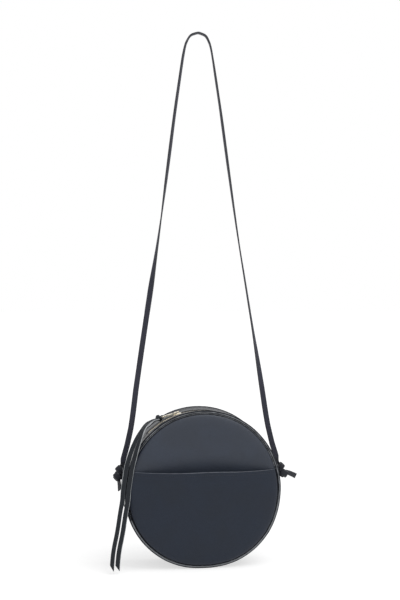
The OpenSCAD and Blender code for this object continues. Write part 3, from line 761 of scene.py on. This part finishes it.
def stitches(path, facing, pitch):
    """A row of stitches along a path, each a short bent piece of thread."""
    run = run_of(path)
    count = int(run[-1] / pitch)
    parts = []
    for i in range(count):
        s = (i + 0.5) * run[-1] / count + pitch * 0.72 * np.linspace(-0.5, 0.5, 6)
        n = unit(read_at(s, run, facing))
        lift = THREAD_D * (0.5 * np.sin(np.linspace(0, np.pi, 6)) ** 0.6 - 0.25)
        parts.append(tube(read_at(s, run, path) + n * lift[:, None],
                          THREAD_D / 2 * np.array([0.55, 0.95, 1.05, 1.05, 0.95, 0.55]), 6,
                          facing=n))
    return joined(parts)


def sewn(name, rows, pitch):
    """Rows of stitches, each given by its path and by the way that it faces."""
    piece(name, joined([stitches(path, np.broadcast_to(facing, path.shape), pitch)
                        for path, facing in rows]), [thread_twine], "bag_body")


hem_x = np.linspace(-93.5, 93.5, 300)
hem_z = pocket_edge_z(hem_x) - HEM_DOWN
sewn("pocket_hem_stitches", [(xyz(hem_x, -pocket_f(hem_x, hem_z), hem_z), TO_FRONT)], 2.9)


# ---- Piping, its cords, and the linings ----

def lining_face(side, panel_f):
    """The lining stands off the seam and bellies out, but never through its panel."""
    crown = (FRONT_CROWN if side < 0 else BACK_CROWN) - 0.9

    def lining_f(x, z):
        r = np.hypot(x, z)
        f = (SEAM_F - 0.4 - LEATHER_T - 0.1
             + crown * np.clip(1 - (r / ALLOWANCE_R) ** 2, 0, 1) ** 0.9
             + 0.25 * drift(x, z, 41, 45.0) * rise(ALLOWANCE_R - r, 0, 12)
             * np.clip((r - 20) / 40, 0.2, 1))
        return np.minimum(f, panel_f(x, z) - LEATHER_T - 0.15)

    return lining_f


for side, word, panel_f in PANELS:
    angle = np.linspace(0, 360, 540, endpoint=False)
    a, around = np.radians(angle), full_turn(24)
    gather = (0.035 * np.sin(a * SEAM_R / STITCH_RUN * 2 * np.pi)
              * (0.6 + 0.4 * np.sin(3 * a + side)))
    swell = 0.03 * np.sin(7 * a) + 0.02 * np.sin(23 * a + 1)
    radius = (PIPING_D / 2 + 0.04) * (1 + (gather + swell)[:, None] * 0.8
                                      * (1 + 0.2 * np.cos(around)[None]))
    roll = tube(on_ring(angle, SEAM_R, side * SEAM_F), radius, 24, closed=True)
    # The face of the piping carries a painted highlight all round, strongest low down, where it
    # stands for the white floor's reflection, and its sides keep the dark base, which is painted
    # shade. At the back its outside carries a painted highlight of the overhead light too. Under
    # the lace a painted shadow takes most of the highlight away.
    low_down = rise(np.sin(a), 0.3, -0.6)[:, None]
    crest_at = np.radians(180 - side * (93 + 10 * low_down))
    far = np.abs((around[None] - crest_at + np.pi) % (2 * np.pi) - np.pi)
    crest_highlight = np.clip(0.82 + 0.3 * low_down - (far / math.radians(38)) ** 2, 0.05, 1)
    if side > 0:
        crest_highlight = np.maximum(crest_highlight, 0.72 - ((around[None] - np.pi) / 1.6) ** 2)
    lace_shadow = rise(angle, 138, 148) * rise(angle, 204, 198)
    roll = (*roll[:4], ((1 - 0.6 * lace_shadow)[:, None] * crest_highlight).ravel())
    flange = shell(np.stack([on_ring(angle, r, side * (SEAM_F + 0.4)) for r in
                             (ALLOWANCE_R, 96.0, 99.0, 101.6)], axis=1), 0.7, True,
                   flip=side > 0)
    piece(word + "_piping_leather", joined([roll, flange]), [piping_leather], "bag_body",
          "leather_trim", word + "_piping")
    strands = []
    for k in range(3):
        turn = a * 60 + k * 2 * np.pi / 3
        strands.append(tube(on_ring(angle, SEAM_R + 0.45 * np.cos(turn),
                                    side * SEAM_F + 0.45 * np.sin(turn)), 0.48, 6, True))
    piece(word + "_piping_cotton", joined(strands), [cord_twine], "bag_body", "piping_cord",
          word + "_piping_cord")
    piece(word + "_lining_cloth",
          disc(circle(99.8, full_turn(160)), (0, 0),
               [0, 0.03, 0.08, 0.14, 0.22, 0.32, 0.44, 0.56, 0.7, 0.85],
               lining_face(side, panel_f), LINING_T, side),
          [lining_cloth], "bag_body", "lining", "lining_" + word)


# ---- Gusset, zip strips and end covers ----

def at_seams(a, d):
    """What the seams do to the gusset's face: small gathers, then a tuck beside the piping."""
    gather = 0.14 * puckers(a, SEAM_R) * rise(d, 21.0, 25.0)
    return gather * (1 - rise(d, 25.2, 26.5)) - 1.25 * rise(d, 24.6, 27.2)


def band_radius(angle, y):
    """The gusset's face, with a little slack between its seams."""
    a = np.radians(angle)
    across = np.clip(1 - (y / 26.0) ** 2, 0, 1)
    slack = 0.75 - 0.2 * np.sin(2 * a) + 0.16 * drift(a * SEAM_R, y, 51, 60.0)
    return SEAM_R - slack * across ** 1.2 + at_seams(a, np.abs(y))


def band(angles, ys, radius, thick=LEATHER_T, edge=CUT_EDGE):
    a, y = np.meshgrid(angles, ys, indexing="ij")
    return shell(on_ring(a, radius(a, y) if callable(radius) else radius, y), thick, edge=edge)


edge_ys = np.linspace(24, GUSSET_HALF, 9)
piece("lit_gusset_leather",
      band(np.linspace(180 - ZIP_SIDE, 360 + ZIP_SIDE, 330),
           np.concatenate([-edge_ys[::-1], np.linspace(-23, 23, 25), edge_ys]), band_radius),
      [lit_gusset_leather, dark_edge], "bag_body", "leather", "gusset_base", worn_and_highlit=0.5)


def sag_by_lip(angle, y):
    """Left of the slider the front strip and its tape sag between the chain and the lining."""
    return (0.9 * rise(-y, 5.2, 7.6) * rise(-y, 12.3, 8.4)
            * rise(angle, SLIDER_ANGLE + 2, SLIDER_ANGLE + 9)
            * rise(angle, 180 - COVER_IN, 180 - COVER_IN - 5))


def strip_radius(angle, y):
    """The face of the strips beside the zip: skived down to a thin lip, flat over the tape, and
    slack from there to the piping."""
    a, d = np.radians(angle), np.abs(y)
    lip = (-0.1 + 0.65 * rise(angle, SLIDER_ANGLE - 4, SLIDER_ANGLE + 3)) * rise(d, 9.5, 6.2)
    slack = 0.3 * np.exp(-((d - 19.0) / 3.0) ** 2) * (1 + 0.5 * drift(a * SEAM_R, y, 52, 30.0))
    seam = 0.1 * np.exp(-((d - ZIP_SEAM_Y) / 0.5) ** 2)
    return SEAM_R - 0.08 - lip - slack - seam - sag_by_lip(angle, y) + at_seams(a, d)


zip_angles = np.linspace(ZIP_SIDE, 180 - ZIP_SIDE, 170)
for side, word in FRONT_BACK:
    ys = np.concatenate([np.linspace(LIP_HALF + 0.1, LIP_HALF + 3, 10),
                         np.linspace(LIP_HALF + 4, 23, 12), edge_ys])
    ys = ys if side > 0 else -ys[::-1]
    piece("zip_strip_" + word + "_leather",
          band(zip_angles, ys, strip_radius, 0.6 + 0.55 * rise(np.abs(ys), 6.2, 10.0),
               ROUND_EDGE),
          [lit_gusset_leather], "bag_body", "leather", "zip_strip_" + word)
    row, y = zip_angles[3:-3], side * ZIP_SEAM_Y
    sewn("zip_" + word + "_stitches",
         [(on_ring(row, strip_radius(row, y), y), on_ring(row, 1.0, 0.0))], STITCH_RUN)

for side, word in RIGHT_LEFT:
    a, y = np.meshgrid(np.linspace(ZIP_SIDE + 0.05, COVER_IN, 14),
                       np.linspace(-LIP_HALF + 0.2, LIP_HALF - 0.2, 11), indexing="ij")
    radius = (SEAM_R - 0.15 + 0.15 * (1 - (y / LIP_HALF) ** 2)
              - 0.3 * rise(a, COVER_IN - 0.6, COVER_IN))
    piece("zip_end_leather_" + word,
          shell(on_ring(a, radius, y) * (side, 1, 1), LEATHER_T, flip=side < 0,
                edge=ROUND_EDGE),
          [trim_leather, dark_edge], "bag_body", "leather_trim", "zip_end_cover_" + word)
    across = np.linspace(-5.2, 5.2, 12)
    sewn("zip_end_stitches_" + word,
         [(on_ring(angle, SEAM_R, across) * (side, 1, 1), on_ring(angle, 1.0, 0.0) * (side, 1, 1))
          for angle in (COVER_IN - 1.6, ZIP_SIDE + 1.4)], 2.6)

LINING_R = SEAM_R - 2 * LEATHER_T - 0.1
piece("lining_band_cloth", joined(
    [band(np.linspace(180 - ZIP_SIDE, 360 + ZIP_SIDE, 150),
          np.linspace(-LINING_HALF, LINING_HALF, 9), LINING_R, LINING_T)]
    + [band(np.linspace(ZIP_SIDE + 0.1, 180 - ZIP_SIDE - 0.1, 80),
            np.sort(side * np.linspace(12.5, LINING_HALF, 5)), LINING_R, LINING_T)
       for side in (-1, 1)]), [lining_cloth], "bag_body", "lining", "lining_gusset")


# ---- Zip tapes: they part to the right of the slider ----

# Where the tapes start to part and where they have parted, in slider lengths.
PART_FROM, PART_TO = -0.095, 0.4
tape_angles = np.linspace(ZIP_SIDE + 1, 180 - ZIP_SIDE - 1, 260)
open_by = PARTED * np.clip((np.radians(SLIDER_ANGLE + 0.6 - tape_angles) * CHAIN_R / SLIDER_L
                            - PART_FROM) / (PART_TO - PART_FROM), 0, 1)
for side, word in FRONT_BACK:
    inner_y = (1.45 + open_by)[:, None]
    y = inner_y + (TAPE_OUT - inner_y) * np.linspace(0, 1, 25)
    y = y[:, ::-1] * -1 if side < 0 else y
    face_r = CHAIN_R + TAPE_T / 2 - 0.04 - sag_by_lip(tape_angles[:, None], y)
    piece("zip_tape_cloth_" + word, shell(on_ring(tape_angles[:, None], face_r, y), TAPE_T - 0.08),
          [tape_cloth], "bag_body", "zip_tape", "zip_tape_" + word)


# ---- Side tabs ----

def side_tab():
    """The upright tab with its punched hole, and the doubled foot behind it."""
    turn = full_turn(96)
    dy, dz = np.cos(turn), np.sin(turn)
    half, low = TAB_W / 2, -TAB_FOOT - ANCHOR_Z
    reach = np.where(dz >= 0, half, np.minimum(half / np.maximum(np.abs(dy), 1e-6),
                                                low / np.minimum(dz, -1e-6)))
    share = np.array([0, 0.06, 0.15, 0.3, 0.5, 0.7, 0.85, 0.94, 1.0])
    r = TAB_HOLE_R + (reach - TAB_HOLE_R)[:, None] * share
    x = TAB_IN_X + TAB_T - 0.1 + 0.12 * np.sin(np.pi * share) * 0.6
    plate = shell(xyz(x, dy[:, None] * r, ANCHOR_Z + dz[:, None] * r), TAB_T - 0.2, True)
    z = np.linspace(-TAB_FOOT, 2.6, 12)[:, None]
    bag_x = np.sqrt((SEAM_R + 0.05) ** 2 - z ** 2)
    foot = shell(xyz(TAB_IN_X, np.linspace(-half + 0.1, half - 0.1, 7), z), TAB_IN_X - bag_x,
                 flip=True)
    return joined([plate, foot])


TAB_SEAM = [(-4.7, 1.2), (-4.7, -11.8), (4.7, -11.8), (4.7, 1.2), (-4.7, 1.2)]
for side, word in RIGHT_LEFT:
    piece("side_tab_leather_" + word, mirrored(side_tab(), side), [trim_leather, dark_edge],
          "bag_body", "leather_trim", "side_tab_" + word)
    x, s = (TAB_IN_X + TAB_T) * side, np.linspace(0.06, 0.94, 10)[:, None]
    sewn("side_tab_stitches_" + word,
         [(np.array([x, *start]) * (1 - s) + np.array([x, *end]) * s, (side, 0.0, 0.0))
          for start, end in zip(TAB_SEAM, TAB_SEAM[1:])], 2.6)


# ---- Strap ----

# Shares of the drop, and of the way out from the middle.
STRAP_SHARES = [[0, 0], [0.0064, 0.094], [0.02, 0.144], [0.034, 0.17], [0.062, 0.198],
                [0.131, 0.256], [0.2, 0.312], [0.338, 0.414], [0.476, 0.521], [0.613, 0.641],
                [0.751, 0.76], [0.889, 0.876], [0.945, 0.934], [1, 1]]
# How far each side has turned round its own length, from edge-on at the top to flat to the
# front: shares of the drop, and degrees.
LEFT_TURNS = ([0, 0.01, 0.05, 0.2, 0.28, 0.35, 0.417, 0.48, 0.52, 0.558, 0.6, 0.64, 0.7, 1],
              [0, -8, -21, -26, -30, -24, -9, 3, 12, 30, 64, 82, 89, 90])
RIGHT_TURNS = ([0, 0.05, 0.1, 0.15, 0.22, 0.3, 0.42, 0.488, 0.558, 0.66, 0.71, 0.77, 0.82,
                0.86, 0.92, 1],
               [0, 6, -3, -1, -7, -6, 3, 9, 15, 19, 24, 46, 72, 84, 89, 90])
# How far each side lies to the left of its solid, by shares of the drop.
LEFT_SHIFT = ([0, 0.06, 0.35, 0.63, 0.84, 0.93, 0.97, 1], [0, 0.8, 0.8, 0.3, 0, -1.5, -1.1, 0])
RIGHT_SHIFT = ([0, 0.02, 0.2, 0.63, 0.84, 0.93, 0.97, 1], [0, 0.7, 1.2, 1.8, 1.6, 2.1, 1.5, 0])
strap_top_z = STRAP_RISE + STRAP_T / 2
strap_low_z = STRAP_END_Z + STRAP_W / 2


def strap_side(side, turns, shift):
    """One side from the top down: x, y, z and its turn in degrees."""
    drop, out = smooth(STRAP_SHARES, 10).T
    x = side * out * STRAP_END_X - STRAP_LEAN * (1 - drop) - np.interp(drop, *shift)
    z = strap_top_z - drop * (strap_top_z - strap_low_z)
    return np.concatenate([np.stack([x, 0 * x, z, np.interp(drop, *turns)], axis=1),
                           [[side * STRAP_END_X, 0, STRAP_END_Z, 90]]])


whole = np.concatenate([strap_side(-1, LEFT_TURNS, LEFT_SHIFT)[:0:-1],
                        strap_side(1, RIGHT_TURNS, RIGHT_SHIFT)])
run = run_of(whole[:, :3])
spaced_at = np.concatenate([np.arange(0, run[-1], 2.2), [run[-1]]])
path = read_at(spaced_at, run, whole[:, :3])
turn = np.interp(spaced_at, run, np.radians(whole[:, 3]))
turn = np.convolve(np.pad(turn, 6, "edge"), np.ones(13) / 13, "valid")
along = along_of(path)
depth_way = np.array((0.0, 1.0, 0.0))
width_way = np.cos(turn)[:, None] * depth_way + np.sin(turn)[:, None] * np.cross(along, depth_way)
width = STRAP_W * (1 + 0.012 * np.sin(spaced_at / 37.0) + 0.008 * np.sin(spaced_at / 11.0))
piece("strap_leather", strip(path, np.cross(width_way, along), width - 0.4, FACE_T, crown=0.12),
      [strap_leather, dark_edge], "strap_body", "strap_leather", "strap")


# ---- Knots ----

def doubled(centre, way, lean, length, height, width, thick):
    """A strip that is folded flat round into a loop, as in a pulled knot. Way runs along its
    front, lean tilts it out of the plane of the bag, and its ends meet at its back."""
    way = unit(way)
    out = unit(TO_FRONT + lean)
    out = unit(out - way * (out @ way))
    bend = (height - thick) / 2
    straight = (length - thick) / 2 - bend
    path, face = [], []
    for turn in np.linspace(-90, 270, 49):
        c, s = math.cos(math.radians(turn)), math.sin(math.radians(turn))
        # A stadium, a little bowed: two straight runs joined by two round folds.
        shift = straight * math.tanh(4 * c) / math.tanh(4)
        path.append(way * (shift + bend * c) + out * (bend * s + 0.5 * s * (1 - c * c)))
        face.append(way * c + out * s)
    return strip(np.array(centre) + np.array(path), np.array(face), width, thick, crown=0.25,
                 edge=ROUND_EDGE)


# Each fold: its middle, its run, its lean, and its length, height, width and thickness.
KNOT_FOLDS = {
    -1: [((110.6, 0.9, 25.0), (0.69, 0, 0.73), (0, 0, 0.12), 10.2, 8.4, 7.0, 1.9),
         ((110.2, 0.9, 24.2), (-0.73, 0, 0.69), (0.1, 0, 0.1), 8.8, 4.4, 6.2, 1.8),
         ((113.1, -0.9, 15.9), (0.655, 0, 0.756), (0.1, 0, 0), 11.8, 9.2, 6.6, 2.0),
         ((112.9, -0.6, 15.6), (-0.756, 0, 0.655), (0, 0, -0.1), 11.0, 5.0, 6.8, 1.8),
         ((111.6, 0.2, 20.4), (0.93, 0, -0.36), (0, 0, 0.3), 9.6, 7.4, 5.0, 1.8)],
    1: [((112.2, 0.9, 23.7), (0.69, 0, 0.73), (0, 0, 0.12), 10.0, 8.2, 7.0, 1.9),
        ((111.8, 0.9, 22.8), (-0.73, 0, 0.69), (0.1, 0, 0.1), 8.6, 4.4, 6.2, 1.8),
        ((115.8, -0.9, 15.0), (0.82, 0, -0.57), (0.1, 0, 0.1), 12.8, 9.2, 7.2, 2.0),
        ((114.4, -0.6, 14.8), (0.57, 0, 0.82), (0, 0, -0.1), 10.6, 5.0, 6.8, 1.8),
        ((112.0, 0.2, 19.0), (0.93, 0, 0.36), (0, 0, 0.3), 9.0, 7.0, 5.0, 1.8)]}
# The strap's end, and the loop that it makes through the tab's hole and over its top: points,
# the ways that it faces there, and its widths.
KNOT_RUNS = [
    [((STRAP_END_X, 0, STRAP_END_Z + 0.6), (0, -1, 0), 7.1),
     ((STRAP_END_X + 0.1, 0.1, 32.4), (0, -1, 0), 7.1),
     ((106.6, 0.4, 29.4), (0.2, -1, 0.1), 6.9), ((108.6, 0.9, 26.6), (0.3, -1, 0.3), 6.4),
     ((111.0, 1.2, 24.0), (0.3, -1, 0.3), 6.0)],
    [((105.2, 0.4, 31.6), (-0.3, -0.9, 0.3), 6.4), ((103.4, 0.2, 31.0), (-0.7, -0.5, 0.6), 5.4),
     ((102.3, 0, 28.8), (-1, -0.1, 0.1), 5.0), ((102.15, 0, 25.2), (-1, 0, 0), 5.0),
     ((102.5, 0, 23.0), (-0.8, 0, -0.6), 4.8), ((104.2, 0, 22.0), (0, 0, -1), 4.6),
     ((107.0, 0, 21.9), (0, 0, -1), 4.6), ((110.0, -0.2, 21.0), (0.3, 0, -1), 5.2)]]
for side, word in RIGHT_LEFT:
    parts = []
    for knot_run in KNOT_RUNS:
        fine = smooth([[*p, *unit(f), w] for p, f, w in knot_run], 6)
        parts.append(strip(fine[:, :3], unit(fine[:, 3:6]), fine[:, 6], FACE_T, crown=0.12))
    parts += [doubled(*fold) for fold in KNOT_FOLDS[side]]
    piece("strap_knot_leather_" + word, mirrored(joined(parts), side), [knot_leather, dark_edge],
          "strap_body", "strap_leather", "strap_knot_" + word)

# The tails beyond the knots, in knot diameters from the knot: points, the way across, and how
# far the end is cut at a slant.
TAILS = {-1: ([[0, 0, -0.6], [-0.04, 0, -0.95], [-0.1, 0.05, -1.35], [-0.15, 0.1, -2.12]],
              (0.5, 1, 0), 3.4),
         1: ([[0.55, 0.02, -0.5], [0.84, 0.02, -0.58], [1.2, 0.08, -0.72], [1.8, 0.2, -1.0]],
             (0, 0.6, 1), 0.4)}
for side, word in RIGHT_LEFT:
    shares, way, slant = TAILS[side]
    path = smooth([[KNOT_X + a * KNOT_D, -b * KNOT_D, ANCHOR_Z + c * KNOT_D]
                   for a, b, c in shares], 8)
    tail = strip(path, unit(np.cross(unit(way), along_of(path))),
                 np.linspace(5.6, STRAP_W - 0.4, len(path)), FACE_T, crown=0.15, slant=slant)
    piece("strap_tail_leather_" + word, mirrored(tail, side), [knot_leather, dark_edge],
          "strap_body", "strap_leather", "strap_tail_" + word)


# ---- Pull lace ----

# The angle round the ring, shares of its radius and of the bag's depth, and how far the lace's
# face has turned from outwards to the front.
LACE_ROUTE = [[123.7, 1.05, 0.062, 0.05], [127.2, 1.083, 0.165, 0.05],
              [130.8, 1.095, 0.28, 0.08], [134.5, 1.095, 0.4, 0.15], [138.3, 1.082, 0.47, 0.28],
              [142, 1.063, 0.505, 0.42], [148, 1.037, 0.52, 0.55], [155, 1.014, 0.54, 0.72],
              [162.3, 1.001, 0.556, 0.9], [170.3, 0.99, 0.567, 1], [178.3, 0.997, 0.577, 1],
              [187.4, 1.022, 0.6, 1], [198.4, 1.109, 0.63, 1], [206.4, 1.212, 0.66, 1],
              [214.5, 1.374, 0.71, 1], [218.9, 1.471, 0.74, 1]]
route = smooth(LACE_ROUTE, 8)
middle = on_ring(route[:, 0], route[:, 1] * RING_R, -route[:, 2] * BAG_DEPTH)
outward = on_ring(route[:, 0], 1.0, 0.0)
face = outward + (TO_FRONT - outward) * route[:, 3:]
across = unit(np.cross(along_of(middle), face))
# Both ends lean to the front beside the knot, and twist lower down. Only the sides that look
# away from each other are skived, and show their pale edge.
for side, word, twist in ((1, "outer", 36.0), (-1, "inner", 6.0)):
    path = middle + across * side * (LACE_W / 2 + 0.3)
    along = along_of(path)
    facing = unit(np.cross(across, along))
    facing = facing * np.sign((facing * face).sum(1, keepdims=True))
    wide_way = np.cross(along, facing)
    run = run_of(path)
    to_front = -24.0 * np.sign(wide_way[:20, 1].mean())
    bend = np.radians(to_front * rise(run, 34, 12) + twist * rise(run, 85, 150))[:, None]
    made = strip(path, facing * np.cos(bend) + wide_way * np.sin(bend), LACE_W - 1.0,
                 LACE_T - 0.2, crown=0.1, slant=-LACE_CUT,
                 edge=CUT_EDGE if side < 0 else SKIVED_EDGE, cut_ends=False,
                 first_edge=SKIVED_EDGE if side < 0 else CUT_EDGE, pale=(side > 0, side < 0))
    lace = piece("lace_end_leather_" + word, made, [lace_leather, raw_edge], "pull_lace",
                 "leather_trim", "lace_end_" + word)


def at_pull(points):
    """From the pull's axes (X back along the pull, Y deep, Z off the zip) to the ring's."""
    p = np.asarray(points, float)
    a, tilt = math.radians(SLIDER_ANGLE), math.radians(PULL_PROP)
    x = -1.3 + p[..., 0] * math.cos(tilt) + p[..., 2] * math.sin(tilt)
    z = CHAIN_R + 3.8 - p[..., 0] * math.sin(tilt) + p[..., 2] * math.cos(tilt)
    # Here X points along the ring towards smaller angles, and Z outwards.
    return xyz(x * math.sin(a) + z * math.cos(a), p[..., 1], -x * math.cos(a) + z * math.sin(a))


def at_pull_strip(path, face, width, columns, crown):
    return strip(at_pull(path), at_pull(path + face) - at_pull(path), width, 1.2, columns, crown,
                 edge=ROUND_EDGE)


def wound(centre, axis, out, turns, height, radius, tilt, thick):
    """The path and the facing of a strip that is wound round an axis into a knot. Each turn
    lies on the last, and tilts the other way."""
    axis, out = unit(axis), unit(out)
    out = unit(out - axis * (out @ axis))
    third = np.cross(axis, out)
    s = np.linspace(0, 1, int(26 * turns) + 1)
    a = np.pi / 2 + 2 * np.pi * turns * s
    r = radius + thick * 1.08 * (rise(s * turns, 0.75, 1.15) + rise(s * turns, 1.75, 2.15))
    lean = tilt * np.where(s * turns < 1, 1, -1) * np.abs(np.clip(s * turns - 1, -1, 1)) ** 0.5
    h = height * (0.5 - s) + lean * np.cos(a - np.pi / 2 - 1.2)
    ring = np.cos(a)[:, None] * out + np.sin(a)[:, None] * third
    path = centre + ring * r[:, None] + axis * h[:, None]
    face = unit(ring + axis * (h / (height + 6))[:, None])
    fine = smooth(np.concatenate([path, face], axis=1), 3)
    return fine[:, :3], unit(fine[:, 3:])


# The lace's knot hangs on the pull: the loop through its eye, the turns of the knot, and a core
# that fills them.
LOOP_X, LOOP_R, LACE_KNOT_X = -19.5, 2.05, -25.2
turn = np.radians(np.linspace(-150, 150, 40))
loop_face = xyz(np.cos(turn), 0, np.sin(turn))
knot_path, knot_face = wound((LACE_KNOT_X, 0.0, 0.0), (-1, -0.25, -0.15), (0, 0.2, 1), 2.2, 4.6,
                             2.1, 1.0, 1.25)
core = np.linspace(0, np.pi, 9)
piece("lace_knot_leather", joined([
    at_pull_strip(loop_face * LOOP_R + (LOOP_X, 0, 0), loop_face, 2.1, 5, 0.05),
    at_pull_strip(knot_path, knot_face, 3.7, 5, 0.2),
    tube(at_pull(xyz(LACE_KNOT_X + 3.4 * np.cos(core), 0, 0)),
         np.clip(1.7 * np.sin(core), 0.15, None))]),
    [lace_leather], "pull_lace", "leather_trim", "lace_knot")


# ---- Metal: the zip's own solids. The slider and its pull get eased edges, in metres ----

METAL_NODES = ["zip_teeth_front", "zip_teeth_back", "zip_bottom_stop", "zip_top_stop_front",
               "zip_top_stop_back", "slider_body", "slider_bridge", "pull_tab"]
EASED = {"slider_body": 0.00018, "slider_bridge": 0.00022, "pull_tab": 0.0003}
for name in METAL_NODES:
    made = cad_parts[name]
    made.data.materials.clear()
    made.data.materials.append(brass if name in EASED else tooth_brass)
    if name in EASED:
        welded = made.modifiers.new("welded", "WELD")
        welded.merge_threshold = 1e-6
        eased = made.modifiers.new("eased", "BEVEL")
        eased.width, eased.segments, eased.angle_limit = EASED[name], 2, math.radians(40)

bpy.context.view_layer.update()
